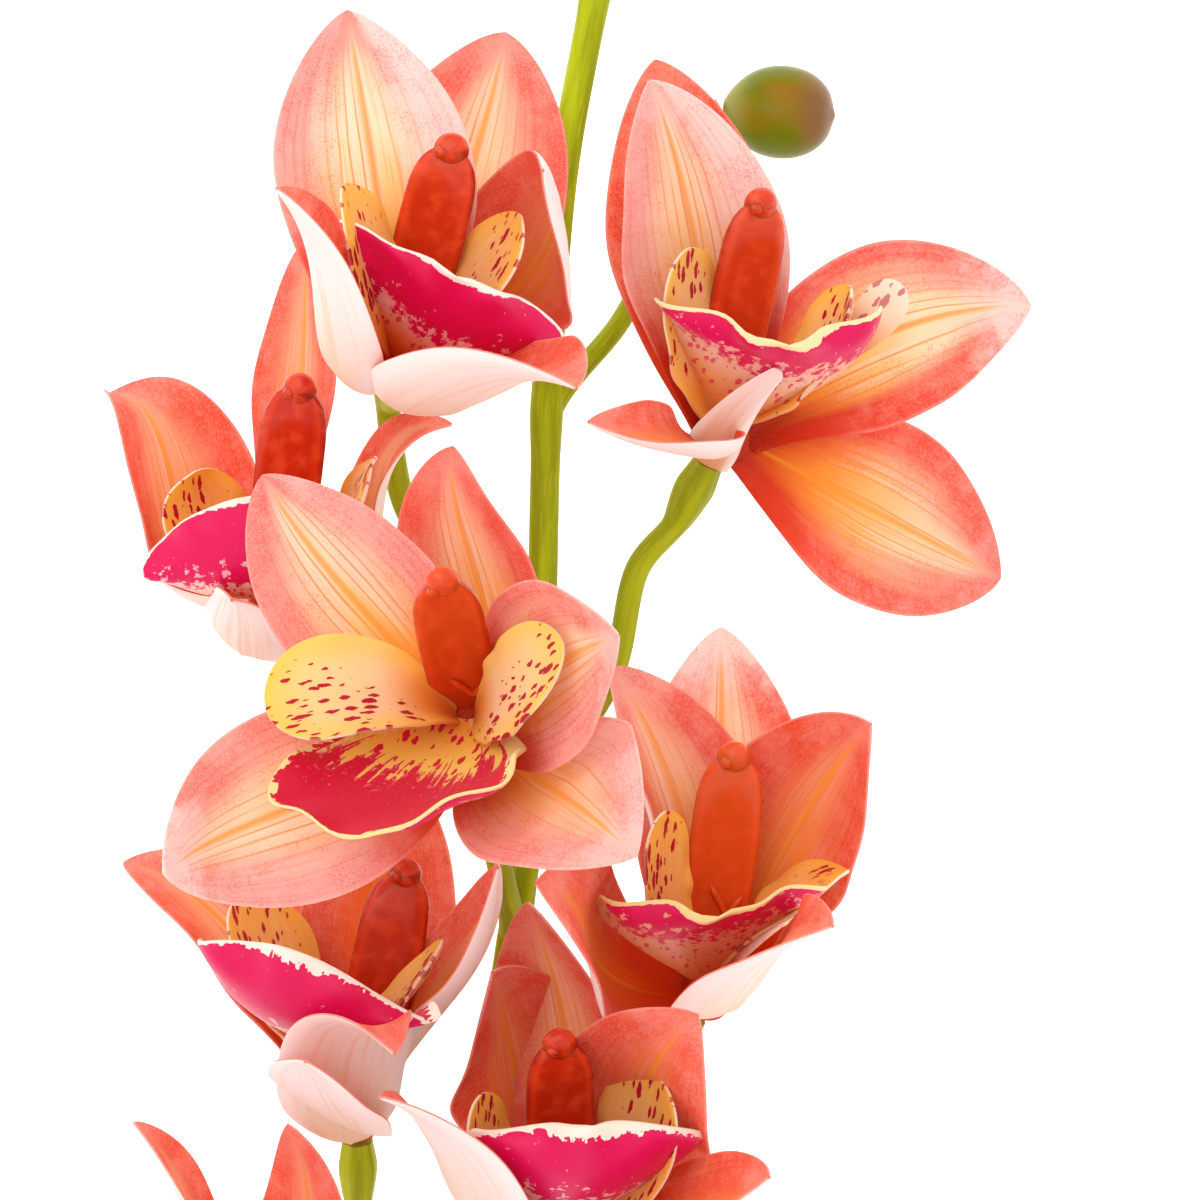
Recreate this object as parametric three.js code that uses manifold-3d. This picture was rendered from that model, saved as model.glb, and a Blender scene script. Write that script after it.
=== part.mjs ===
// Cymbidium orchid stem, cut and laid down: one curved green stem with eight open blooms and three buds.
// Millimetres. The stem lies along Y with its cut end at -Y, Z is up, and z = 0 is the surface it lies on.
// Each bloom is three solids: five tepals on their receptacle, a three-lobed lip and a column.

import * as THREE from "three";
import { mergeVertices } from "three/addons/utils/BufferGeometryUtils.js";
import Module from "manifold-3d";

const wasm = await Module();
wasm.setup();

// Driving dimensions
const liftAboveTable = 38;
const shiftSideways = 10.36;
const shiftAlong = 80.76;
const tepalThickness = 1.2;
const lipThickness = 1.2;
const clearance = 0.35;
const receptacleRadius = 5.2;
const tepalFootRadius = 3;
const stemRadius = 2.65;
const pedicelRadius = 2.25;
const ovaryRadius = 3.6;
const ovaryLength = 13;
const budStalkRadius = 1.9;
const columnWidth = 12.6;
const columnDepth = 7;
const columnCapRadius = 3.1;
const columnNubRadius = 1.5;
const tepalRings = [0, 0.2, 0.42, 0.65, 0.86, 1];
const lobeRings = [0, 0.3, 0.6, 0.86, 1];

const colours = {
  stem: "#a3a61c",
  bud: "#7a8420",
  tepals: "#f08a72",
  lip: "#e9a055",
  column: "#d8381e",
};

// Every blade of a bloom: tip is where it ends, from the bloom's heart; cup is how far its left and
// right halves bend forward, in degrees; bow sets the middle back, sway sets it sideways, curl gives
// it an S bend, roll turns it about its own length and twist winds it from base to tip.
const blooms = {
  upper_left: {
    heart: [-36, 40, 22],
    faces: [0.15, 0.8, 0.58],
    cap: [10, 39, 14],
    sepalTop: { tip: [19, 62, -21], width: 38, cup: [30, 35], bow: 2, sway: 1.5, roll: 15, curl: 2 },
    petalLeft: { tip: [-9, 65, -8], width: 36, cup: [10, 35], bow: -7, roll: -10, curl: -2 },
    petalRight: { tip: [26, 34.5, 25], width: 34, cup: [55, 35], bow: 19, sway: -5, roll: 35, twist: -25 },
    sepalLeft: { tip: [-19, 30, 50], width: 30, cup: [90, 95], bow: 4, sway: -6, roll: -25, curl: 3 },
    sepalRight: { tip: [32, -4, 54], width: 39, cup: [60, 78], bow: 2, sway: 3, curl: 3, twist: -15 },
    lobeLeft: { tip: [-5.5, 28.5, 10], width: 20, cup: [5, 5], bow: -3, sway: -5, twist: -10 },
    lobeRight: { tip: [20, 24, 11], width: 20, cup: [20, 25], bow: 1, sway: 2, roll: 20 },
    lobeMid: { tip: [11, 13, 21], width: 50, cup: [80, 35], bow: 3, sway: -1, roll: -10, twist: 10 },
  },
  upper_right: {
    heart: [22, 29, -6],
    faces: [0.05, 0.75, 0.66],
    cap: [7, 42, 14],
    sepalTop: { tip: [-12, 69, -4], width: 32, cup: [25, 35], bow: 1, sway: 1.5, roll: -10 },
    petalLeft: { tip: [-13, 64, 13], width: 34, cup: [50, 40], bow: 1, sway: 3, roll: -5, twist: 10 },
    petalRight: { tip: [57, 25, -18], width: 34, cup: [40, 30], bow: -1, sway: -6, roll: 40 },
    sepalLeft: { tip: [-24, 2, 50], width: 20, cup: [120, 55], bow: -2, sway: -8, roll: -10, twist: -70 },
    sepalRight: { tip: [52, -25, -31.45], width: 35, cup: [30, 5], bow: -3, sway: 1, roll: 40 },
    lobeLeft: { tip: [-5, 31, 12], width: 19, cup: [15, 15], bow: 1, sway: -2, roll: -35, twist: 10 },
    lobeRight: { tip: [19, 24, 8], width: 17, cup: [30, 25], bow: 3, sway: 4, roll: -10 },
    lobeMid: { tip: [10, 13, 26], width: 52, cup: [110, 55], bow: -1, sway: -2, roll: -20 },
  },
  middle_left: {
    heart: [-59, -1, -16],
    faces: [-0.1, 0.82, 0.56],
    cap: [5, 39, 19],
    sepalTop: { tip: [5.5, 67, -2], width: 27, cup: [10, 35], sway: 2, roll: -35, twist: 15 },
    petalLeft: { tip: [-32, 39, -21.22], width: 34, cup: [65, 90], bow: 5, roll: 15, curl: 8, twist: 10 },
    petalRight: { tip: [32, 33, 0], width: 20, cup: [35, 55], bow: 3, sway: -3.5, roll: -10, curl: 6 },
    sepalLeft: { tip: [-6.5, 1, 30], width: 18, cup: [30, 60], bow: 6.5, roll: -20, curl: 3 },
    sepalRight: { tip: [27, -4, 25], width: 26, cup: [40, 40], bow: 14 },
    lobeLeft: { tip: [-12, 20.5, -2], width: 21, cup: [15, 25], bow: 5, roll: -10 },
    lobeRight: { tip: [18, 23, 5], width: 18, cup: [25, 20], bow: 4, sway: 2, roll: 5, curl: 2 },
    lobeMid: { tip: [-4, 16, 22], width: 43, cup: [50, 30], bow: 9, sway: -1, roll: 15, twist: -10 },
  },
  centre: {
    heart: [-23, -22, 34],
    faces: [-0.08, 0.55, 0.83],
    cap: [-4, 25, 36],
    columnRoot: 4,
    sepalTop: { tip: [-3, 49, -6], width: 29, cup: [35, 40], bow: 17, sway: -4, roll: -20, curl: 5 },
    petalLeft: { tip: [-36.5, 44, -8], width: 31, cup: [30, 25], bow: 5, sway: -2, roll: -25, curl: 3 },
    petalRight: { tip: [26, 16, 58], width: 33, cup: [45, 5], sway: -2, roll: 45, twist: 10 },
    sepalLeft: { tip: [-52, -25, 23], width: 35, cup: [15, -5], bow: 2, roll: -45, curl: -5, twist: -10 },
    sepalRight: { tip: [29, -21, 54], width: 35, cup: [15, 10], bow: -1, roll: 10, curl: 2, twist: 25 },
    lobeLeft: { tip: [-32, 1, 15], width: 23, cup: [35, 45], bow: -6, roll: 15 },
    lobeRight: { tip: [15, 13, 37], width: 18, cup: [25, 25], bow: -3, sway: 3, roll: 10, twist: 15 },
    lobeMid: { tip: [-16, -19, 37], width: 48, cup: [45, 50], bow: 2, roll: -10, twist: 10 },
  },
  lower_right: {
    heart: [19, -71, 0],
    faces: [0.12, 0.8, 0.58],
    cap: [5, 43, 11],
    sepalTop: { tip: [3, 66, -16], width: 33, cup: [35, 35], bow: 3, sway: 1, roll: -10 },
    petalLeft: { tip: [-17, 59, -6], width: 32, cup: [80, 50], bow: -3, sway: 4, roll: 10 },
    petalRight: { tip: [29, 49, 19], width: 35, cup: [50, 45], bow: 9, sway: -6, roll: 20, twist: -10 },
    sepalLeft: { tip: [-30, 22, 50], width: 30, cup: [25, 50], bow: 5, roll: -40, curl: 4 },
    sepalRight: { tip: [21, 15, 59], width: 31, cup: [40, 65], sway: 4, roll: 30, curl: 2, twist: 15 },
    lobeLeft: { tip: [-5.5, 30, 15], width: 14, cup: [20, 35], bow: 1, sway: -5, roll: -30 },
    lobeRight: { tip: [22, 20, 9], width: 21, cup: [15, 15], bow: -4, sway: 4, roll: -15, twist: 15 },
    lobeMid: { tip: [1, 12.5, 31], width: 46, cup: [35, 85], sway: 1, roll: 15 },
  },
  lower_left: {
    heart: [-44, -93, -4],
    faces: [0.1, 0.81, 0.58],
    cap: [9, 44, 6],
    sepalTop: { tip: [7, 64, -15], width: 30, cup: [40, 40], bow: 3 },
    petalLeft: { tip: [-43, 45, -15], width: 30, cup: [60, 50], bow: -4, sway: 4, curl: 2 },
    petalRight: { tip: [26, 46, 36], width: 29, cup: [40, 80], bow: 4, sway: -4, roll: 8, curl: -2 },
    sepalLeft: { tip: [-7, 13, 52], width: 24, cup: [30, 20], bow: 3, sway: -1, roll: -10 },
    sepalRight: { tip: [8.5, 14.5, 54], width: 26, cup: [65, 40], bow: -2, sway: 5, curl: 6 },
    lobeLeft: { tip: [-16, 36, -3], width: 24, cup: [20, 20], bow: 1, sway: -4, roll: -10, twist: -20 },
    lobeRight: { tip: [13, 29, 13], width: 12, cup: [35, 20], bow: -4, sway: 2, roll: -5, curl: -2 },
    lobeMid: { tip: [-8, 27.5, 28], width: 53, cup: [60, 55], bow: 3, sway: 3, roll: -18, curl: -4 },
  },
  lower_middle: {
    heart: [-7, -117, 9],
    faces: [0.02, 0.81, 0.59],
    cap: [0, 39, 22],
    sepalTop: { tip: [-6, 63, 3], width: 32, cup: [45, 60], bow: 10, roll: -40, twist: -10 },
    petalLeft: { tip: [-12, 51, 11], width: 32, cup: [35, 40], bow: 15, sway: 7, twist: 20 },
    petalRight: { tip: [24, 45, 37], width: 33, cup: [30, 0], bow: 6, sway: -4, roll: 60, curl: 4 },
    sepalLeft: { tip: [-31, 31, 42], width: 30, cup: [45, 35], bow: 2, sway: -3, roll: 15, curl: 3 },
    sepalRight: { tip: [36, 18, 52], width: 30, cup: [50, 40], bow: 2, sway: 1, roll: 15 },
    lobeLeft: { tip: [-12, 27, 16], width: 19, cup: [10, 30], bow: 3, sway: -5, roll: -20 },
    lobeRight: { tip: [14, 30, 18], width: 26, cup: [10, 20], bow: 1, sway: 4, roll: 10, twist: 15 },
    lobeMid: { tip: [5, 23, 33], width: 49, cup: [65, 80], bow: 4, curl: -2, twist: -20 },
  },
  lowest: {
    heart: [-66, -154, -2],
    faces: [0, 0.81, 0.59],
    cap: [3, 40, 17],
    sepalTop: { tip: [10, 60, 8], width: 27, cup: [20, 15], bow: 5, sway: 4, roll: -25, curl: -2 },
    petalLeft: { tip: [-17, 61, 16], width: 22, cup: [65, 35], bow: -3, sway: 3, roll: 45, curl: 2 },
    petalRight: { tip: [21, 35, 50], width: 30, cup: [40, 40], bow: 5 },
    sepalLeft: { tip: [-33, 26, 48], width: 30, cup: [40, 40], bow: 5 },
    sepalRight: { tip: [26, 2, 58], width: 30, cup: [40, 40], bow: 5 },
    lobeLeft: { tip: [-13, 24, 24], width: 18, cup: [10, 20], bow: 2, sway: -3 },
    lobeRight: { tip: [15, 25, 23], width: 18, cup: [20, 10], bow: 2, sway: 3 },
    lobeMid: { tip: [2, 12, 36], width: 42, cup: [50, 50], bow: 3 },
  },
};

// Routes of the stem and of its branches, from where each one springs. A branch to a bloom ends at
// the bloom's receptacle, so only its bends are given, and how far its ovary turns to face as the
// bloom does, where that is less than usual.
const stemRoute = [
  [-28, -322, -35.35], [-30, -290, -32], [-34, -250, -22.5], [-36, -200, -10], [-31, -150, -8],
  [-24.5, -117, -9], [-19.5, -81, -8], [-14, -51, -3], [-11, -18, 0], [-10, 18, 0], [-9.5, 37, 0],
  [-8, 63, 0], [-6, 81, 0], [-1, 108, 2], [2, 126, 4], [1, 140, 6],
];
const ovaryTurn = { usual: 0.8, upper_left: 0.25, upper_right: 0.25 };
const pedicelBends = {
  upper_left: [[-13, -22, 0], [-24, 0, -13], [-36, 18, -25], [-39, 36, -26]],
  upper_right: [[-13, -36, 0], [2, -14, -11], [7, 6, -12]],
  middle_left: [[-13, -36, 0], [-30, -27, -14], [-44, -14, -22]],
  centre: [[-15, -60, -4], [-17, -52, 4]],
  lower_right: [[-22, -98, -9], [-6, -97, -12]],
  lower_left: [[-32, -156, -8], [-40, -132, -13]],
  lower_middle: [[-31, -150, -8], [-20, -146, -8]],
  lowest: [[-36, -196, -10], [-50, -188, -16]],
};
const buds = {
  side_bud: {
    route: [[-9.5, 34, 0], [-4, 41, -4], [4, 51, -11], [13, 70, -20], [19, 88, -21], [22, 90, -20.6]],
    heads: [1, -0.08, 0.15],
    length: 20.5,
    radius: 8.6,
  },
  upper_bud: {
    route: [[-1, 112, 2], [5, 122, 8], [9, 130, 13]],
    heads: [0.4, 0.8, 0.45],
    length: 17,
    radius: 6.6,
  },
  tip_bud: {
    route: [[1, 138, 6], [0, 143, 8], [-2, 148, 9]],
    heads: [-0.35, 0.9, 0.15],
    length: 13,
    radius: 4.6,
  },
};

const vec = (list) => new THREE.Vector3(...list);
const radians = (degrees) => (degrees * Math.PI) / 180;

// Half-width of a tepal and of a lip lobe along its length, as a share of the widest half-width.
function tepalOutline(u) {
  return u < 0.5 ? 0.3 + 0.7 * Math.sin(Math.PI * u) ** 1.1 : Math.cos(Math.PI * (u - 0.5)) ** 0.7;
}

function lobeOutline(u) {
  return u < 0.66 ? 0.2 + 0.8 * Math.sin((Math.PI * u) / 1.32) : Math.sqrt(1 - ((u - 0.66) / 0.34) ** 2.4);
}

// A blade's middle surface: (u, v) runs from base to tip and from left edge to right edge.
function bladeSurface(base, face, blade, outline) {
  const chord = vec(blade.tip);
  const along = chord.clone().normalize();
  const front = face.clone().addScaledVector(along, -face.dot(along)).normalize();
  front.applyAxisAngle(along, radians(blade.roll ?? 0));
  const side = along.clone().cross(front);
  const bow = blade.bow ?? 0;
  const sway = blade.sway ?? 0;
  const curl = 10.4 * (blade.curl ?? 0);
  const twist = radians(blade.twist ?? 0);
  return (u, v) => {
    const arch = 4 * u * (1 - u);
    const slope = 4 * (1 - 2 * u);
    const middle = base.clone().addScaledVector(chord, u).addScaledVector(side, sway * arch);
    middle.addScaledVector(front, -bow * arch + curl * u * (1 - u) * (2 * u - 1));
    const run = chord.clone().addScaledVector(side, sway * slope);
    run.addScaledVector(front, -bow * slope + curl * (6 * u - 6 * u * u - 1)).normalize();
    const facing = front.clone().addScaledVector(run, -front.dot(run)).normalize();
    facing.applyAxisAngle(run, twist * (u - 0.5));
    const across = run.clone().cross(facing);
    const half = Math.max(outline(u) * blade.width / 2, 0.8);
    const bend = radians(v < 0 ? blade.cup[0] : blade.cup[1]) * (1 - 0.35 * u) || 1e-4;
    const angle = bend * Math.abs(v);
    const point = middle.addScaledVector(across, (Math.sign(v) * half * Math.sin(angle)) / bend);
    point.addScaledVector(facing, (half * (1 - Math.cos(angle))) / bend);
    const normal = facing.multiplyScalar(Math.cos(angle));
    normal.addScaledVector(across, -Math.sign(v) * Math.sin(angle));
    return { point, normal };
  };
}

// A thin closed solid on both sides of a blade's surface, with the same diagonals on both faces.
function bladeSolid(surface, rings, columns, thickness) {
  const rows = rings.length - 1;
  const front = [];
  const back = [];
  for (let i = 0; i <= rows; i += 1) {
    for (let j = 0; j <= columns; j += 1) {
      const { point, normal } = surface(rings[i], (2 * j) / columns - 1);
      front.push(point.clone().addScaledVector(normal, thickness / 2));
      back.push(point.clone().addScaledVector(normal, -thickness / 2));
    }
  }
  const count = front.length;
  const at = (i, j) => i * (columns + 1) + j;
  const triangles = [];
  const wall = (a, b) => triangles.push(a, b, b + count, a, b + count, a + count);
  for (let i = 0; i < rows; i += 1) {
    for (let j = 0; j < columns; j += 1) {
      const [a, b, c, d] = [at(i, j), at(i, j + 1), at(i + 1, j + 1), at(i + 1, j)];
      triangles.push(a, b, c, a, c, d);
      triangles.push(a + count, c + count, b + count, a + count, d + count, c + count);
    }
  }
  for (let i = 0; i < rows; i += 1) {
    wall(at(i, 0), at(i + 1, 0));
    wall(at(i + 1, columns), at(i, columns));
  }
  for (let j = 0; j < columns; j += 1) {
    wall(at(0, j + 1), at(0, j));
    wall(at(rows, j), at(rows, j + 1));
  }
  return solidFrom([...front, ...back], triangles);
}

function solidFrom(points, triangles) {
  const mesh = new wasm.Mesh({
    numProp: 3,
    vertProperties: new Float32Array(points.flatMap((point) => point.toArray())),
    triVerts: new Uint32Array(triangles),
  });
  return new wasm.Manifold(mesh);
}

function solidOf(geometry) {
  geometry.deleteAttribute("normal");
  geometry.deleteAttribute("uv");
  const merged = mergeVertices(geometry, 1e-4);
  const mesh = new wasm.Mesh({
    numProp: 3,
    vertProperties: new Float32Array(merged.attributes.position.array),
    triVerts: new Uint32Array(merged.index.array),
  });
  return new wasm.Manifold(mesh);
}

const fuse = (solids) => solids.reduce((sum, solid) => sum.add(solid));

// A cut can leave slivers loose: only the body itself is kept.
const wholeBody = (solid) => solid.decompose().reduce((a, b) => (a.volume() > b.volume() ? a : b));

function ball(centre, radius, sides) {
  const geometry = new THREE.SphereGeometry(radius, sides, sides / 2);
  geometry.translate(centre.x, centre.y, centre.z);
  return solidOf(geometry);
}

// A solid of revolution whose profile of [radius, height] rises from the origin along a direction.
function turned(profile, from, direction, sides) {
  const geometry = new THREE.LatheGeometry(profile.map(([r, h]) => new THREE.Vector2(r, h)), sides);
  const turn = new THREE.Quaternion().setFromUnitVectors(new THREE.Vector3(0, 1, 0), direction);
  geometry.applyQuaternion(turn);
  geometry.translate(from.x, from.y, from.z);
  return solidOf(geometry);
}

function tube(points, radius, sides, steps) {
  const ring = [];
  for (let k = 0; k < sides; k += 1) {
    const angle = (2 * Math.PI * k) / sides;
    ring.push(new THREE.Vector2(radius * Math.cos(angle), radius * Math.sin(angle)));
  }
  const path = new THREE.CatmullRomCurve3(points, false, "centripetal");
  return solidOf(new THREE.ExtrudeGeometry(new THREE.Shape(ring), { steps, extrudePath: path }));
}

// The bloom's own directions: out of its mouth, up along its top sepal, and to its right.
function bloomFrame(bloom) {
  const heart = vec(bloom.heart);
  const out = vec(bloom.faces).normalize();
  const up = vec(bloom.sepalTop.tip);
  up.addScaledVector(out, -up.dot(out)).normalize();
  return { heart, out, up, right: up.clone().cross(out) };
}

function tepalSolids(bloom, thickness) {
  const { heart, out } = bloomFrame(bloom);
  const names = ["sepalTop", "petalLeft", "petalRight", "sepalLeft", "sepalRight"];
  return names.map((name) => {
    const blade = bloom[name];
    const foot = vec(blade.tip);
    foot.addScaledVector(out, -foot.dot(out)).setLength(tepalFootRadius);
    const tip = vec(blade.tip).sub(foot).toArray();
    const surface = bladeSurface(foot.add(heart), out, { ...blade, tip }, tepalOutline);
    return bladeSolid(surface, tepalRings, 4, thickness);
  });
}

function lipSolids(bloom) {
  const { heart, out, up, right } = bloomFrame(bloom);
  const throat = heart.clone().addScaledVector(out, 6).addScaledVector(up, -2);
  const lobes = [
    ["lobeLeft", throat.clone().addScaledVector(right, -2), right.clone().addScaledVector(out, 0.8)],
    ["lobeRight", throat.clone().addScaledVector(right, 2), out.clone().multiplyScalar(0.8).sub(right)],
    ["lobeMid", throat.clone().addScaledVector(up, -1), up.clone().addScaledVector(out, 0.35)],
  ];
  return lobes.map(([name, base, face]) => {
    const surface = bladeSurface(base, face.normalize(), bloom[name], lobeOutline);
    return bladeSolid(surface, lobeRings, name === "lobeMid" ? 4 : 2, lipThickness);
  });
}

// The column: a boat-shaped body, flat towards the lip, with a round cap and a nub on each side of it.
function columnSolid(bloom, extra) {
  const { heart, out, up } = bloomFrame(bloom);
  const foot = heart.clone().addScaledVector(out, 6).addScaledVector(up, 1.5);
  const along = heart.clone().add(vec(bloom.cap)).sub(foot).normalize();
  foot.addScaledVector(along, -(bloom.columnRoot ?? 0));
  const run = heart.clone().add(vec(bloom.cap)).sub(foot);
  const across = along.clone().cross(up).normalize();
  const back = across.clone().cross(along);
  const stations = [[0, 0.8], [0.25, 0.92], [0.55, 1], [0.85, 0.94], [0.97, 0.6]];
  const sides = 8;
  const points = [];
  stations.forEach(([share, girth]) => {
    for (let k = 0; k < sides; k += 1) {
      const angle = (2 * Math.PI * k) / sides;
      const wide = (columnWidth / 2) * girth + extra;
      const deep = (columnDepth / 2) * girth + extra;
      const point = foot.clone().addScaledVector(run, share);
      point.addScaledVector(across, wide * Math.cos(angle));
      point.addScaledVector(back, deep * Math.sin(angle) * (Math.sin(angle) < 0 ? 0.5 : 1));
      points.push(point);
    }
  });
  const triangles = [];
  for (let i = 0; i < stations.length - 1; i += 1) {
    for (let k = 0; k < sides; k += 1) {
      const [a, b] = [i * sides + k, i * sides + ((k + 1) % sides)];
      triangles.push(a, b + sides, b, a, a + sides, b + sides);
    }
  }
  const last = points.length - sides;
  for (let k = 1; k < sides - 1; k += 1) {
    triangles.push(0, k, k + 1, last, last + k + 1, last + k);
  }
  const body = solidFrom(points, triangles);
  const cap = heart.clone().add(vec(bloom.cap)).addScaledVector(along, -0.6);
  const nubs = [-1, 1].map((side) => {
    const centre = cap.clone().addScaledVector(across, side * 3.2).addScaledVector(along, -2.2);
    return ball(centre, columnNubRadius + extra, 6);
  });
  return fuse([body, ball(cap, columnCapRadius + extra, 8), ...nubs]);
}

function receptacle(bloom, extra) {
  const { heart, out } = bloomFrame(bloom);
  return ball(heart.addScaledVector(out, 0.5), receptacleRadius + extra, 10);
}

// A bloom's three solids, with the lip and the column seated on the receptacle by the clearance.
function bloomSolids(bloom) {
  const tepals = fuse([...tepalSolids(bloom, tepalThickness), receptacle(bloom, 0)]);
  const spaced = tepalSolids(bloom, tepalThickness + 2 * clearance);
  const taken = fuse([tepals, ...spaced, receptacle(bloom, clearance)]);
  const column = wholeBody(columnSolid(bloom, 0).subtract(taken));
  const lip = wholeBody(fuse(lipSolids(bloom)).subtract(taken).subtract(columnSolid(bloom, clearance)));
  return { tepals, lip, column };
}

// A pedicel runs from the stem to just under its bloom and swells there into the ovary, which leans
// from the pedicel's own direction towards the bloom's.
function pedicelSolid(name) {
  const bloom = blooms[name];
  const bends = pedicelBends[name];
  const { heart, out } = bloomFrame(bloom);
  const lean = heart.clone().sub(vec(bends.at(-1))).normalize();
  const direction = lean.addScaledVector(out, ovaryTurn[name] ?? ovaryTurn.usual).normalize();
  const middle = heart.clone().addScaledVector(out, 0.5);
  const foot = middle.addScaledVector(direction, -receptacleRadius - clearance - ovaryLength);
  const profile = [[0, 0], [2, 0], [ovaryRadius, 0.6 * ovaryLength], [2.6, ovaryLength], [0, ovaryLength]];
  const route = [...bends.map(vec), foot, foot.clone().addScaledVector(direction, 2)];
  return [tube(route, pedicelRadius, 6, 6), turned(profile, foot, direction, 6)];
}

function budSolid({ route, heads, length, radius }) {
  const profile = [[0, 0], [0.35, 0.04], [0.8, 0.22], [1, 0.5], [0.88, 0.76], [0.5, 0.94], [0, 1]];
  const scaled = profile.map(([r, h]) => [r * radius, h * length]);
  const direction = vec(heads).normalize();
  return turned(scaled, vec(route.at(-1)).addScaledVector(direction, 2 * clearance), direction, 10);
}

function stemSolid() {
  const parts = [tube(stemRoute.map(vec), stemRadius, 8, 32)];
  Object.keys(pedicelBends).forEach((name) => parts.push(...pedicelSolid(name)));
  Object.values(buds).forEach(({ route }) => parts.push(tube(route.map(vec), budStalkRadius, 6, 7)));
  return fuse(parts);
}

function meshOf(name, solid, colour, roughness) {
  const { vertProperties, triVerts } = solid.getMesh();
  const geometry = new THREE.BufferGeometry();
  geometry.setAttribute("position", new THREE.BufferAttribute(vertProperties, 3));
  geometry.setIndex(new THREE.BufferAttribute(triVerts, 1));
  geometry.computeVertexNormals();
  const material = new THREE.MeshStandardMaterial({ color: colour, roughness, metalness: 0 });
  const mesh = new THREE.Mesh(geometry, material);
  mesh.name = name;
  return mesh;
}

const spray = new THREE.Group();
spray.position.set(shiftSideways, shiftAlong, liftAboveTable);
spray.add(meshOf("stem", stemSolid(), colours.stem, 0.5));
Object.entries(buds).forEach(([name, bud]) => spray.add(meshOf(name, budSolid(bud), colours.bud, 0.35)));
Object.entries(blooms).forEach(([name, bloom]) => {
  const { tepals, lip, column } = bloomSolids(bloom);
  spray.add(meshOf(`${name}_tepals`, tepals, colours.tepals, 0.55));
  spray.add(meshOf(`${name}_lip`, lip, colours.lip, 0.5));
  spray.add(meshOf(`${name}_column`, column, colours.column, 0.2));
});

const part = new THREE.Group();
part.add(spray);

export default part;
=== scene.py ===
import math

import bpy
import numpy as np
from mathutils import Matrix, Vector


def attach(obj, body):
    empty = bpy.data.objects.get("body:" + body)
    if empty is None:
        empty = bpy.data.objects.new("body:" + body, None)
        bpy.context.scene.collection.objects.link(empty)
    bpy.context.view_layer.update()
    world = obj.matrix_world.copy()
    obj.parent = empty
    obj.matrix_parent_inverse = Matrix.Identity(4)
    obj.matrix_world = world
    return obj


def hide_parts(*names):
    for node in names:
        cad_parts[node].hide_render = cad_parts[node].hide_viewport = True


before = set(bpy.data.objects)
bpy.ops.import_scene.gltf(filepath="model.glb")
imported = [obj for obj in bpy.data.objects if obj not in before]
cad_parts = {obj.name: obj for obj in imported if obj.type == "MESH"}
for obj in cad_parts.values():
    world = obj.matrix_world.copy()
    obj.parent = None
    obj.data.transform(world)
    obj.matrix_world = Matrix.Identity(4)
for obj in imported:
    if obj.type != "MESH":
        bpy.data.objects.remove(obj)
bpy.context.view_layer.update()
print("frame loaded:", len(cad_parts), "nodes")

# Lengths are in millimetres up to the last step, where a piece's points are turned into metres.
metre, centimetre = 1000.0, 10.0
spray = {
    "origin": (10.36, 80.76, 38.0),  # where the spray's own zero lies in the frame
    "eyeHeight": 1300.0,  # camera above the spray's zero
    "frameWidth": 216.0,  # what the camera takes in at the stalk
}
draw = np.random.default_rng(7)
seedTop = 60.0  # each blade and stem draws a seed up to this, which shifts its marks
phaseTop = 6.3  # a full turn, for where the waves of a margin start


def unit(vectors):
    return vectors / np.linalg.norm(vectors, axis=-1, keepdims=True)


def turnAbout(vectors, axis, angle):
    angle = np.asarray(angle, float)[..., None]
    inline = axis * np.sum(axis * vectors, axis=-1, keepdims=True)
    return vectors * np.cos(angle) + np.cross(axis, vectors) * np.sin(angle) + inline * (1 - np.cos(angle))


def smooth(low, high, value):
    share = np.clip((value - low) / (high - low), 0, 1)
    return share * share * (3 - 2 * share)


def fullCircle(count):
    return np.linspace(0, 2 * np.pi, count, endpoint=False)


def blurred(values, weights):
    return np.convolve(np.pad(values, len(weights) // 2, mode="edge"), weights, "valid")


def spread(first, second, x, y):
    # points in the plane of two directions
    return first * x[..., None] + second * y[..., None]


def colour(hexCode):
    # sRGB hex to linear RGBA
    parts = [int(hexCode[i:i + 2], 16) / 255 for i in (1, 3, 5)]
    return [p / 12.92 if p <= 0.04045 else ((p + 0.055) / 1.055) ** 2.4 for p in parts] + [1.0]


bench = {}  # the material at work, its node tree and the dictionary that it is set up from


def newMaterial(name, settings):
    bench["settings"], bench["material"] = settings, bpy.data.materials.new(name)
    bench["material"].use_nodes = True
    bench["tree"] = bench["material"].node_tree
    bench["tree"].nodes.clear()


def add(kind, inputs=None, **settings):
    # adds a node to the material at work, sets it up and links what is given to it
    node = bench["tree"].nodes.new("ShaderNode" + kind)
    for name, value in settings.items():
        setattr(node, name, value)
    for name, value in (inputs or {}).items():
        socket = node.inputs[name] if isinstance(name, int) else next(
            s for s in node.inputs if s.enabled and s.name == name)
        if isinstance(value, bpy.types.Node):
            value = next(s for s in value.outputs if s.enabled)
        if isinstance(value, bpy.types.NodeSocket):
            bench["tree"].links.new(value, socket)
        else:
            socket.default_value = value
    return node


def sums(operation, *values, kind="Math"):
    return add(kind, dict(enumerate(values)), operation=operation)


def vectorSums(operation, first, second):
    return sums(operation, first, second, kind="VectorMath")


def times(first, second):
    return sums("MULTIPLY", first, second)


def scaled(value, factor, offset):
    return sums("MULTIPLY_ADD", value, factor, offset)


def mapped(value, low, high, start, end, **kind):
    limits = {"From Min": low, "From Max": high, "To Min": start, "To Max": end}
    return add("MapRange", {"Value": value, **limits}, **kind)


def step(value, low, high, start=0.0, end=1.0):
    # a soft step from start to end as the value goes from low to high
    return mapped(value, low, high, start, end, interpolation_type="SMOOTHSTEP")


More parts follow.
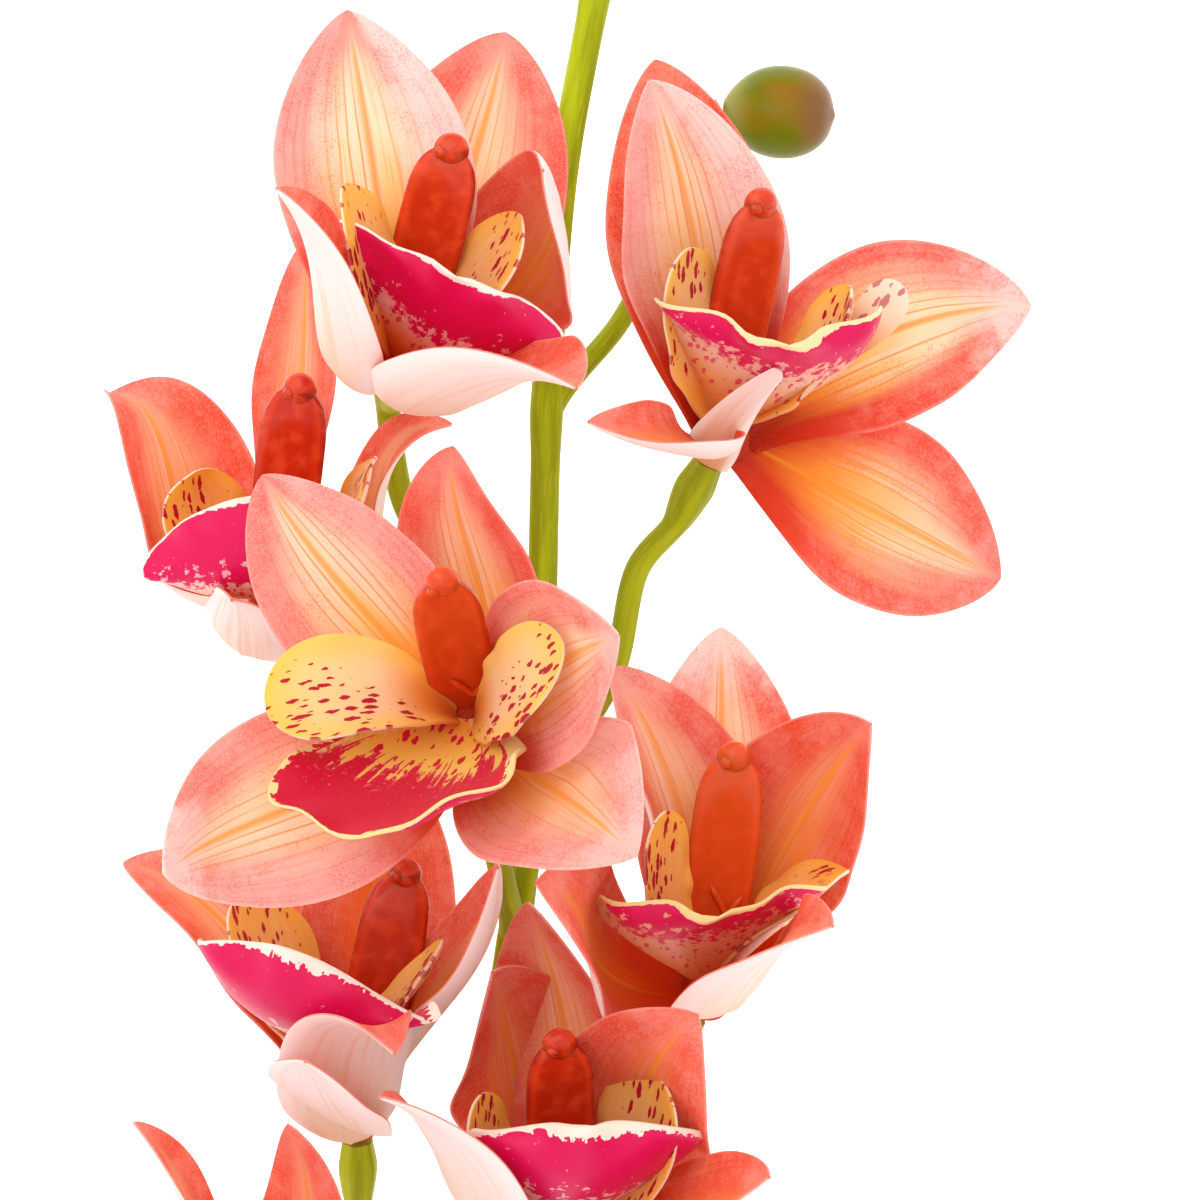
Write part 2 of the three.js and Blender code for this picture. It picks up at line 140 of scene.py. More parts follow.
def laid(share, under, over):
    # one colour laid over another, each of them a node or named in the material's dictionary
    under, over = (colour(bench["settings"][c]) if isinstance(c, str) else c for c in (under, over))
    return add("Mix", {"Factor": share, "A": under, "B": over}, data_type="RGBA")


def ramp(place, name):
    node, stops = add("ValToRGB", {"Fac": place}), list(bench["settings"][name].items())
    elements = node.color_ramp.elements
    for position, _ in stops[1:-1]:
        elements.new(position)
    for element, (position, hexCode) in zip(elements, stops):
        element.position, element.color = position, colour(hexCode)
    return node


def noise(place, scale, detail, roughness=0.5):
    return add("TexNoise", {"Vector": place, "Scale": scale, "Detail": detail, "Roughness": roughness})


def point(x=0.0, y=0.0, z=0.0):
    return add("CombineXYZ", {"X": x, "Y": y, "Z": z})


def mapParts(name):
    return add("SeparateXYZ", {"Vector": add("UVMap", uv_map=name)}).outputs[:2]


def bladePlace():
    # along runs 0 to 1 from base to tip, across -1 to 1 from edge to edge, seed is the blade's own
    sideways, along = mapParts("blade")
    return along, scaled(sideways, 2.0, -1.0), add("Attribute", attribute_name="seed").outputs["Fac"]


def looks():
    # the four numbers of the look attribute, which mean something else on each kind of piece
    look = add("Attribute", attribute_name="look")
    return [*add("SeparateColor", {"Color": look.outputs["Color"]}).outputs[:3], look.outputs["Alpha"]]


def streaks(place, fine, run, detail=3.0):
    # noise drawn out along the blade: fine is how many streaks fit across it, run how often they break
    along, across, seed = place
    return noise(point(scaled(across, fine, seed), times(along, run), seed), 1.0, detail, 0.55)


def finish(shade, bump):
    settings = bench["settings"]
    relief = settings["relief"] / metre
    normal = add("Bump", {"Height": bump, "Strength": settings["bump"], "Distance": relief})
    surface = add("BsdfPrincipled", {
        "Base Color": shade, "Normal": normal, "Roughness": settings["roughness"], "IOR": settings["ior"],
        "Specular IOR Level": settings["specular"], **settings.get("more", {})})
    if "through" in settings:
        deep = add("HueSaturation", {"Saturation": 1.12, "Value": 1.2, "Color": shade})
        through = add("BsdfTranslucent", {"Color": deep, "Normal": normal})
        surface = add("MixShader", {0: settings["through"], 1: surface, 2: through})
    add("OutputMaterial", {"Surface": surface})
    return bench["material"]


def tissue(roughness, specular, sheen, through, bump):
    # petal tissue lets some light through, so the far side warms what is seen
    return {"roughness": roughness, "ior": 1.42, "specular": specular, "through": through, "bump": bump,
            "relief": 0.2, "more": {"Sheen Weight": sheen, "Sheen Roughness": 0.4}}


# Inner face of a tepal: waxy petal tissue, cream in the middle, coral at the margin, orange at the foot.
# It gives the eye fine lengthwise veins, orange streaks, soft clouds of pink and a powdery blush.
tepalFace = {
    "orange": {0.0: "#D03C0A", 0.2: "#E26014", 0.45: "#EE7C28", 0.75: "#F08444", 1.0: "#F08464"},
    "cream": {0.0: "#D84A10", 0.12: "#E67A24", 0.28: "#F6BC50", 0.45: "#FADA92", 0.65: "#FBEBCC",
              0.85: "#F9DCC4", 1.0: "#F2A496"},
    "margin": {0.0: "#D03A10", 0.2: "#DE461A", 0.45: "#E85638", 0.75: "#EE6852", 1.0: "#F28070"},
    "warmMargin": {0.0: "#D03C0A", 0.25: "#E25014", 0.55: "#EA5C26", 0.8: "#EE643A", 1.0: "#F07454"},
    "light": "#FAECD8",  # pale bands between the streaks
    "cloud": "#F8B4A2",  # paler clouds in the coral
    "streak": "#F2AC38",
    "vein": "#D2442E",
    "haze": "#F6E6E2",
    "fleck": "#E66A64",
    "rim": "#FAE0D8",
    "veins": 17.0,
    "cloudSize": 6.0,  # mm
    "grain": 0.4,  # mm, blush flecks
    **tissue(roughness=0.5, specular=0.3, sheen=0.04, through=0.52, bump=0.3),
}


def tepalFaceMaterial():
    newMaterial("waxyPetalInside", tepalFace)
    along, across, seed = place = bladePlace()
    edge = sums("ABSOLUTE", across)
    leftHaze, rightHaze, paleTip, creamy = looks()
    size = vectorSums("ADD", add("UVMap", uv_map="size"), point(z=seed))
    wide, fine, hair = streaks(place, 2.6, 1.5, 2.0), streaks(place, 9.0, 1.1), streaks(place, 30.0, 2.4, 2.0)
    clouds = noise(size, 1 / tepalFace["cloudSize"], 5.0, 0.65)

    orange, cream, coral, warmCoral = (
        ramp(along, name) for name in ("orange", "cream", "margin", "warmMargin"))
    margin = laid(step(creamy, 0.3, 0.9), warmCoral, coral)
    # the cream middle is a spindle: narrow at the foot, widest halfway, gone at the tip
    offMiddle = scaled(along, 2.0, -0.98)
    spindle = scaled(creamy, 0.24, scaled(times(offMiddle, offMiddle), -0.5, 0.2))
    ragged = scaled(fine, 0.45, scaled(wide, 0.5, sums("SUBTRACT", edge, spindle)))
    inMargin = step(ragged, 0.3, 0.98)
    shade = laid(inMargin, laid(creamy, orange, cream), margin)

    # pale bands in the middle, fading out at the tip, and paler clouds in the coral
    inMiddle = step(ragged, 0.35, 0.85, 1.0, 0.0)
    beforeTip = step(along, 0.84, 0.99, 1.0, 0.0)
    bandRoom = times(times(inMiddle, beforeTip), creamy)
    pale = times(step(fine, 0.48, 0.62), step(along, 0.22, 0.5, 0.0, 0.8))
    shade = laid(times(pale, bandRoom), shade, "light")
    soft = times(step(clouds, 0.36, 0.74, 0.0, 0.5), step(along, 0.12, 0.4))
    shade = laid(times(soft, inMargin), shade, "cloud")

    # powdery haze on one half or both, and over the tip
    haze = add("Mix", {"Factor": step(across, -0.15, 0.15), "A": leftHaze, "B": rightHaze})
    haze = times(haze, step(along, 0.2, 0.5))
    haze = times(haze, step(scaled(clouds, 0.6, edge), 0.4, 0.95))
    tip = times(step(scaled(clouds, 0.35, along), 0.9, 1.14), paleTip)
    shade = laid(sums("MAXIMUM", haze, tip), shade, "haze")

    # flecks of blush, the finest grain of the petal, gathered in clouds
    flecks = noise(size, 1 / tepalFace["grain"], 3.0, 0.7)
    fleck = times(step(flecks, 0.48, 0.66), step(clouds, 0.6, 0.42, 0.06, 0.5))
    shade = laid(times(fleck, step(edge, 0.05, 0.4)), shade, "fleck")
    powder = times(step(flecks, 0.52, 0.36, 0.0, 0.22), step(along, 0.2, 0.5))
    shade = laid(times(powder, inMargin), shade, "haze")

    # veins: lines from foot to tip, pushed about a little, orange in the middle and red in the coral
    count = scaled(across, tepalFace["veins"] / 2, scaled(wide, 1.4, seed))
    offLine = sums("ABSOLUTE", sums("ADD", sums("FRACT", count), -0.5))
    broken = times(step(offLine, 0.02, 0.15, 1.0, 0.0), step(fine, 0.34, 0.6))
    rib = step(edge, 0.01, 0.07, 1.0, 0.0)
    orangeLine = times(times(sums("MAXIMUM", broken, rib), inMiddle), times(beforeTip, 0.7))
    shade = laid(orangeLine, shade, "streak")
    redLine = times(sums("MAXIMUM", broken, step(hair, 0.55, 0.7, 0.0, 0.7)), 0.2)
    shade = laid(times(redLine, beforeTip), shade, "vein")
    rim = times(step(edge, 0.96, 0.995, 0.0, 0.3), step(along, 0.15, 0.4))
    shade = laid(rim, shade, "rim")
    return finish(shade, sums("SUBTRACT", scaled(hair, 0.5, fine), broken))


# Back of a tepal: the same tissue seen from behind, pale and matt, peach where it narrows.
tepalBack = {
    "length": {0.0: "#DE9C68", 0.2: "#EABE9C", 0.45: "#EED8C8", 0.75: "#F0E2DE", 1.0: "#F1DFDC"},
    "streak": "#E8BC9E",
    "margin": "#F6EAE6",
    **tissue(roughness=0.6, specular=0.2, sheen=0.06, through=0.15, bump=0.25),
}


def tepalBackMaterial():
    newMaterial("waxyPetalBack", tepalBack)
    place = bladePlace()
    fine, wide = streaks(place, 9.0, 1.2), streaks(place, 2.5, 1.5, 2.0)
    shade = ramp(place[0], "length")
    shade = laid(step(fine, 0.5, 0.68, 0.0, 0.55), shade, "streak")
    ragged = scaled(wide, 0.5, sums("ABSOLUTE", place[1]))
    shade = laid(step(ragged, 0.75, 1.15, 0.0, 0.8), shade, "margin")
    return finish(shade, fine)


# Side lobe of the lip: thick waxy tissue. Inside, butter yellow over peach with crimson dashes; outside,
# peach that pales to cream, with the dashes showing through.
sideLobe = {
    "length": {0.0: "#DC6A1C", 0.22: "#F0A44A", 0.45: "#F5D4A4", 0.8: "#F5D492", 1.0: "#F3CA5C"},
    "margin": "#F4CC58",
    "warm": "#F0A236",
    "outer": {0.0: "#E8863C", 0.3: "#F0BC8C", 0.6: "#F2DAC2", 1.0: "#F4E6DA"},
    "spot": "#B8142E",
    "spotSpacing": 2.3,  # mm, from one dash to the next
    **tissue(roughness=0.45, specular=0.35, sheen=0.02, through=0.35, bump=0.2),
}


def dashes(size, seed, spacing, fewest, room=1.0):
    # cells drawn out along the lobe, each with a dash of its own size; fewest is the share left without one,
    # and room is how large the dashes may grow
    pushed = vectorSums("MULTIPLY", noise(size, 0.9, 1.0).outputs["Color"], (0.9, 0.9, 0.0))
    moved = vectorSums("ADD", vectorSums("ADD", size, pushed), point(seed, seed))
    longer = vectorSums("MULTIPLY", moved, (1.5, 0.62, 1.0))
    cells = add("TexVoronoi", {"Vector": longer, "Scale": 1 / spacing, "Randomness": 1.0},
                voronoi_dimensions="2D")
    chance = add("SeparateColor", {"Color": cells.outputs["Color"]}).outputs["Red"]
    reach = mapped(chance, fewest, 1.0, 0.0, 0.5)
    return step(sums("SUBTRACT", times(reach, room), cells.outputs["Distance"]), 0.0, 0.05)


def sideLobeMaterial(inside):
    newMaterial("waxyLobeInside" if inside else "waxyLobeBack", sideLobe)
    along, across, seed = place = bladePlace()
    warmth, spotsRight = looks()[:2]
    fine = streaks(place, 7.0, 1.5)
    shade = ramp(along, "length" if inside else "outer")
    if inside:
        shade = laid(step(sums("ABSOLUTE", across), 0.35, 0.95, 0.0, 0.7), shade, "margin")
        shade = laid(times(step(fine, 0.3, 0.6, 0.6, 1.0), warmth), shade, "warm")
    # the dashes crowd away from the column, on the outer half and towards the tip
    outward = scaled(along, 1.5, times(across, scaled(spotsRight, 2.0, -1.0)))
    crowd = times(step(outward, 0.15, 1.15), step(along, 0.15, 0.4))
    spot = dashes(add("UVMap", uv_map="size"), seed, sideLobe["spotSpacing"], 0.12, crowd)
    shade = laid(spot if inside else times(spot, 0.7), shade, "spot")
    return finish(shade, fine)


# Mid lobe of the lip: waxy tissue too. Inside, crimson runs in ragged rays over yellow; outside, a magenta
# band lies under a cream rim and breaks up into pale mottling towards the orange foot.
midLobe = {
    "inside": {
        "ground": {0.0: "#E88A30", 0.3: "#EEBE54", 0.8: "#EACE78", 1.0: "#ECD898"},
        "paint": "#CE0A34", "light": "#DC5A74", "apricotLight": 0.0,
        "start": 0.99,  # the paint starts where the way from the throat, rays and mottling add up to this
        "rays": 0.9, "mottling": 0.35,  # how much of each goes into that sum
        "cloudGrain": 0.8, "cloudRange": 0.5, "cloudGain": 0.14,  # paler clouds in the paint
    },
    "outside": {
        "ground": {0.0: "#E8701E", 0.2: "#F08C3C", 0.36: "#F3B088", 0.55: "#F4D4CE", 1.0: "#F6E0DE"},
        "paint": "#DA0654", "light": "#F4BCC8", "apricotLight": 0.6,
        "start": 0.96, "rays": 0.25, "mottling": 0.8,
        "cloudGrain": 0.5, "cloudRange": 0.32, "cloudGain": 0.22,
    },
    "apricot": "#EE9E56",  # laid over the outside of a yellow lip
    "rim": "#F4E8DA", "yellowRim": "#ECD692",
    "rimWidth": 0.45,  # mm, what the magenta leaves free all round
    "wideRim": 1.3,  # mm, what the crimson leaves free on one side, and a pale rim adds outside
    "teeth": 1.5,  # mm, how far the free rim is notched inward
    **tissue(roughness=0.42, specular=0.35, sheen=0.04, through=0.12, bump=0.25),
}


def midLobeMaterial(inside):
    lobe = {**midLobe, **midLobe["inside" if inside else "outside"]}
    newMaterial("waxyLipInside" if inside else "waxyLipBack", lobe)
    along, _, seed = place = bladePlace()
    fromRim, roundRim, yellowness, pallor = looks()
    size = add("UVMap", uv_map="size")
    rays = streaks(place, 15.0, 1.6, 2.0)
    mottle, small = noise(size, 0.4, 5.0, 0.65), noise(size, lobe["cloudGrain"], 5.0, 0.62)
    ground = ramp(along, "ground")
    if inside:
        fewer = dashes(size, seed, 2.4, 0.2)
    else:
        ground = laid(times(yellowness, 0.7), ground, "apricot")
        fewer = times(dashes(size, seed, 1.8, 0.45), step(along, 0.12, 0.3, 0.0, 0.8))
    ground = laid(fewer, ground, "paint")
    # the rim: a free band, notched by teeth
    teethPlace = point(times(roundRim, 70.0), times(fromRim, 5.0), seed)
    teeth = step(noise(teethPlace, 1.0, 2.0, 0.6), 0.36, 0.66, 0.0, lobe["teeth"] / centimetre)
    if inside:
        # one side of the rim is left free, on the other the colour reaches the edge
        free = step(roundRim, 0.42, 0.56, lobe["wideRim"] / centimetre, 0.0)
    else:
        wider = times(step(noise(teethPlace, 0.12, 1.0), 0.35, 0.65, 0.4, 1.0), pallor)
        free = scaled(wider, lobe["wideRim"] / centimetre, lobe["rimWidth"] / centimetre)
        teeth = times(teeth, scaled(pallor, 0.8, 0.1))
    offRim = sums("SUBTRACT", fromRim, sums("ADD", teeth, free))
    rimShade = laid(yellowness, "rim", "yellowRim")
    ground = laid(step(offRim, 0.02, 0.3, 1.0, 0.0), ground, rimShade)
    # towards the throat the colour breaks up
    breakUp = scaled(mottle, lobe["mottling"], scaled(rays, lobe["rays"], along))
    if not inside:
        breakUp = scaled(yellowness, -0.24, breakUp)
    start = lobe["start"]
    # paler clouds in the colour, hardly any under the rim and most where it breaks up
    cloudy = scaled(step(breakUp, start, start + lobe["cloudRange"], 1.0, 0.0), lobe["cloudGain"], small)
    cloudShade = laid(times(yellowness, lobe["apricotLight"]), "light", "apricot")
    painted = laid(step(cloudy, 0.66, 0.72, 0.0, 0.9), "paint", cloudShade)
    whole = times(step(offRim, 0.0, 0.01), step(breakUp, start, start + 0.05))
    return finish(laid(whole, ground, painted), rays)


# Column: fleshy, glassy tissue, wet red with soft patches. Across it, a painted glow down each side and
# painted shade at the edges.
columnTissue = {
    # across the column: deep red at the front, a painted glow of light through the tissue near each side, and
    # painted shade at the very edges, where it turns away
    "across": {0.0: "#C4260C", 0.55: "#BC220A", 0.8: "#D03412", 0.93: "#B0180C", 1.0: "#8E0E0E"},
    "warm": "#E45E18",
    "foot": "#BE2C0C",
    "light": "#E8562A",
    "roughness": 0.25, "ior": 1.45, "specular": 0.3, "bump": 0.15, "relief": 0.3,
    "more": {"Subsurface Weight": 0.4, "Subsurface Radius": (1.0, 0.35, 0.12),
             "Subsurface Scale": 2.0 / metre, "Coat Weight": 0.12, "Coat Roughness": 0.1},
}


def columnMaterial():
    newMaterial("glassyColumnTissue", columnTissue)
    sideways, along = mapParts("blade")
    # painted glow and painted shade across the column, darkest at its sides
    shade = ramp(sideways, "across")
    shade = laid(times(looks()[2], 0.7), shade, "warm")
    shade = laid(step(along, 0.0, 0.45, 0.6, 0.0), shade, "foot")
    grain = noise(add("UVMap", uv_map="size"), 0.3, 3.0)
    shade = laid(step(grain, 0.42, 0.72, 0.0, 0.5), shade, "light")
    return finish(shade, grain)


def aroundStem(run):
    # a place on a round stem: where it is around it, and run steps of pattern along it for each UV unit
    along, _, seed = bladePlace()
    return point(*looks()[:2], scaled(along, run, seed))


# Stalk: smooth plant skin with a thin wax bloom, lime over olive, finely lined along its length.
stalkSkin = {
    "olive": "#889000",
    "lime": "#A8B000",
    "pale": "#B8BE28",
    "ovary": "#A6A428",
    "roughness": 0.5, "ior": 1.38, "specular": 0.2, "bump": 0.25, "relief": 0.12,
    "more": {"Subsurface Weight": 0.1, "Subsurface Radius": (0.8, 1.0, 0.2),
             "Subsurface Scale": 1.0 / metre},
}


def stalkMaterial():
    newMaterial("waxyStalkSkin", stalkSkin)
    around = aroundStem(0.015)
    wide, fine = noise(around, 2.2, 2.0), noise(around, 14.0, 3.0)
    shade = laid(step(wide, 0.35, 0.65), "olive", "lime")
    shade = laid(step(fine, 0.5, 0.72, 0.0, 0.5), shade, "pale")
    shade = laid(times(looks()[2], 0.55), shade, "ovary")
    return finish(shade, fine)


# Bud: closed sepals with a smooth waxy skin, green flushed with bronze, mauve at the tip, paler at the neck.
budSkin = {
    "green": "#646E00",
    "bronze": "#8A6400",
    "mauve": "#7C5434",
    "neck": "#8A8836",
    "roughness": 0.3, "ior": 1.4, "specular": 0.2, "bump": 0.12, "relief": 0.2,
}


def budMaterial():
    newMaterial("waxyBudSkin", budSkin)
    around = aroundStem(1.0)
    along = mapParts("blade")[1]
    patches, fine = noise(around, 0.9, 2.0), noise(around, 12.0, 3.0)
    shade = laid(step(patches, 0.44, 0.62), "green", "bronze")
    shade = laid(step(scaled(patches, 0.5, along), 0.85, 1.25, 0.0, 0.9), shade, "mauve")
    shade = laid(step(along, 0.04, 0.36, 0.9, 0.0), shade, "neck")
    return finish(shade, fine)


materials = {
    "tepal": [tepalFaceMaterial(), tepalBackMaterial()],
    "lip": [sideLobeMaterial(True), sideLobeMaterial(False), midLobeMaterial(True), midLobeMaterial(False)],
    "column": [columnMaterial()],
    "stem": [stalkMaterial()],
    "bud": [budMaterial()],
}
print("materials made")


def newMesh():
    layers = ("points", "faces", "slots", "blade", "size", "look", "seed")
    return {"count": 0, **{layer: [] for layer in layers}}


def addPatch(mesh, points, faces, slots, blade, size, look, seed):
    mesh["points"].append(points)
    mesh["faces"] += [[corner + mesh["count"] for corner in face] for face in faces]
    mesh["slots"] += list(slots)
    mesh["blade"].append(blade)
    mesh["size"].append(size)
    mesh["look"].append(np.broadcast_to(np.asarray(look, float), (len(points), 4)))
    mesh["seed"].append(np.full(len(points), float(seed)))
    mesh["count"] += len(points)


def placed(name, data):
    thing = bpy.data.objects.new(name, data)
    bpy.context.scene.collection.objects.link(thing)
    return thing


def makePiece(name, mesh, slot, node):
    points = (np.concatenate(mesh["points"]) + np.array(spray["origin"])) / metre
    data = bpy.data.meshes.new(name)
    data.from_pydata(points.tolist(), [], mesh["faces"])
    data.polygons.foreach_set("material_index", np.array(mesh["slots"], np.int32))
    corners = np.empty(len(data.loops), np.int32)
    data.loops.foreach_get("vertex_index", corners)
    for layer in ("blade", "size"):
        places = np.concatenate(mesh[layer])[corners]
        data.uv_layers.new(name=layer).data.foreach_set("uv", places.astype(np.float32).ravel())
    for layer, kind, field in (("look", "FLOAT_COLOR", "color"), ("seed", "FLOAT", "value")):
        values = np.concatenate(mesh[layer]).astype(np.float32).ravel()
        data.attributes.new(layer, kind, "POINT").data.foreach_set(field, values)
    for material in materials[slot]:
        data.materials.append(material)
    data.shade_smooth()
    data.set_sharp_from_angle(angle=math.radians(55))
    piece = placed(name, data)
    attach(piece, "root")
    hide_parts(node)


def addRings(mesh, rings, along, seed=0.0, warmth=0.0):
    # a closed body through rings of points, with a fan over each end; look holds where on its ring a point is
    rows, columns = rings.shape[:2]
    grid = np.arange(rows * columns).reshape(rows, columns)
    after = np.roll(grid, -1, axis=1)
    faces = np.stack([grid[:-1], after[:-1], after[1:], grid[1:]], axis=-1).reshape(-1, 4).tolist()
    first, last = rows * columns, rows * columns + 1
    faces += [[first, b, a] for a, b in zip(grid[0], after[0])]
    faces += [[last, a, b] for a, b in zip(grid[-1], after[-1])]
    turn = fullCircle(columns)
    place = (0.5 + 0.5 * np.cos(turn), 0.5 + 0.5 * np.sin(turn), warmth, 1)
    look = np.tile(np.stack(np.broadcast_arrays(*place), axis=-1), (rows, 1))
    look = np.concatenate([look, [[0.5, 0.5, warmth, 1]] * 2])
    share = np.concatenate([np.repeat(along, columns), [along[0], along[-1]]])
    sideways = np.concatenate([np.tile(np.abs(np.cos(turn)), rows), [0, 0]])
    points = np.concatenate([rings.reshape(-1, 3), [rings[0].mean(axis=0), rings[-1].mean(axis=0)]])
    inside = rings.reshape(-1, 3).mean(axis=0)
    a, b, c = (points[[face[k] for face in faces]] - inside for k in range(3))
    if np.sum(a * np.cross(b, c)) < 0:
        faces = [face[::-1] for face in faces]
    blade = np.stack([sideways, share], axis=-1)
    addPatch(mesh, points, faces, [0] * len(faces), blade, points[:, :2], look, seed)


# Half-widths of a tepal and of a lip lobe along their length, as a share of the widest.
def tepalOutline(u):
    lower = 0.3 + 0.7 * np.sin(np.pi * np.minimum(u, 0.5)) ** 1.1
    upper = np.maximum(np.cos(np.pi * (np.maximum(u, 0.5) - 0.5)), 0) ** 0.7
    return np.where(u < 0.5, lower, upper)


def lobeOutline(u, widest=0.66):
    lower = 0.2 + 0.8 * np.sin(np.pi * np.minimum(u, widest) / (2 * widest))
    upper = np.sqrt(np.maximum(1 - np.maximum((u - widest) / (1 - widest), 0) ** 2.4, 0))
    return np.where(u < widest, lower, upper)


def foldOutline(u):
    # widest near the foot, narrow at the tip
    return np.sqrt(smooth(-0.25, 0.2, u)) * (1.04 - 0.86 * u ** 0.8) * np.sqrt(np.minimum((1 - u) / 0.03, 1))


bladeForm = {
    "curl": 10.4,  # turns a curl in mm into the factor of its cubic
    "leastHalf": 0.25,  # mm, half-width where an outline closes
    "flattening": 0.35,  # share of its cup that a blade loses up to the tip
    "flatBend": 1e-4,  # the smallest bend that the arc can divide by
    "seedShift": 3.7,  # mm, how far each unit of seed moves the pattern
    "crowding": 1.6,  # how much closer the rows stand towards the tip
}


def bladeSurface(base, face, blade, outline, u, v):
    # middle surface of a blade from its row of numbers, as in the solids: u runs along it and v across it
    chord, (width, left, right) = np.array(blade[:3], float), blade[3:6]
    bow, sway, roll, curl, twist = (*blade[6:], 0, 0, 0, 0, 0)[:5]
    curl = bladeForm["curl"] * curl
    along = unit(chord)
    front = unit(face - along * np.dot(face, along))
    front = turnAbout(front, along, math.radians(roll))
    side = np.cross(along, front)
    u1, v1 = u[:, None], v[None, :]
    arch, slope = 4 * u1 * (1 - u1), 4 * (1 - 2 * u1)
    middle = base + chord * u1 + side * sway * arch
    middle = middle + front * (-bow * arch + curl * u1 * (1 - u1) * (2 * u1 - 1))
    run = unit(chord + side * sway * slope + front * (-bow * slope + curl * (6 * u1 - 6 * u1 * u1 - 1)))
    facing = unit(front - run * np.sum(run * front, axis=-1, keepdims=True))
    facing = turnAbout(facing, run, math.radians(twist) * (u - 0.5))
    across = np.cross(run, facing)
    half = np.maximum(outline(u) * width / 2, bladeForm["leastHalf"])[:, None]
    bend = np.radians(np.where(v1 < 0, left, right)) * (1 - bladeForm["flattening"] * u1)
    bend = np.where(np.abs(bend) < bladeForm["flatBend"], bladeForm["flatBend"], bend)
    angle = bend * np.abs(v1)
    outward, forward = np.sign(v1) * half * np.sin(angle) / bend, half * (1 - np.cos(angle)) / bend
    points = middle[:, None] + spread(across[:, None], facing[:, None], outward, forward)
    normals = spread(facing[:, None], across[:, None], np.cos(angle), -np.sign(v1) * np.sin(angle))
    size = np.stack(np.broadcast_arrays(half * v1, np.linalg.norm(chord) * u1), axis=-1)
    return points, normals, size


def addBlade(mesh, points, normals, thickness, u, v, size, slots, look, seed):
    # a thin closed shell: front, back and the wall round them
    rows, columns = points.shape[:2]
    count = rows * columns
    grid = np.arange(count).reshape(rows, columns)
    a, b, c, d = grid[:-1, :-1], grid[:-1, 1:], grid[1:, 1:], grid[1:, :-1]
    front = np.stack([a, b, c, d], axis=-1).reshape(-1, 4)
    back = np.stack([a, d, c, b], axis=-1).reshape(-1, 4) + count
    loop = np.concatenate([grid[0, ::-1], grid[1:, 0], grid[-1, 1:], grid[-2:0:-1, -1]])
    after = np.roll(loop, -1)
    wall = np.stack([loop, after, after + count, loop + count], axis=-1)
    faces = np.concatenate([front, back, wall]).tolist()
    kinds = np.repeat(slots, (len(front), len(back), len(wall)))
    offset = normals * thickness[..., None] / 2
    both = np.concatenate([(points + offset).reshape(-1, 3), (points - offset).reshape(-1, 3)])
    place = np.stack(np.broadcast_arrays(v[None, :] / 2 + 0.5, u[:, None]), axis=-1).reshape(-1, 2)
    flat = size.reshape(-1, 2) + seed * bladeForm["seedShift"]
    addPatch(mesh, both, faces, kinds, np.tile(place, (2, 1)), np.tile(flat, (2, 1)), look, seed)


def addTurned(mesh, heart, end, outline, thickness, look, u, v):
    # a thin soft end that has turned over, so that its back shows
    down = np.array([0.0, 0.0, -1.0])
    points, normals, size = bladeSurface(heart + end["foot"], down, end["blade"], outline, u, v)
    thickness = np.full(points.shape[:2], thickness)
    addBlade(mesh, points, normals, thickness, u, v, size, (0, 1, 1), look, end["seed"])


def gridLines(rows, columns):
    # closer together towards the tip and both edges, where the outline turns
    u = 1 - (1 - np.linspace(0, 1, rows + 1)) ** bladeForm["crowding"]
    t = np.linspace(-1, 1, columns + 1)
    return u, 0.5 * t + 0.5 * np.sin(np.pi * t / 2)


def thicknesses(sizes, taper):
    return sizes["edgeThickness"] + (sizes["thickness"] - sizes["edgeThickness"]) * taper


def bloomFrame(bloom):
    # a bloom's heart, and its directions out of the mouth, up the top sepal and to the right
    heart = np.array(bloom["heart"], float)
    out = unit(np.array(bloom["faces"], float))
    up = np.array(bloom["sepalTop"][:3], float)
    up = unit(up - out * np.dot(up, out))
    return heart, out, up, np.cross(up, out)


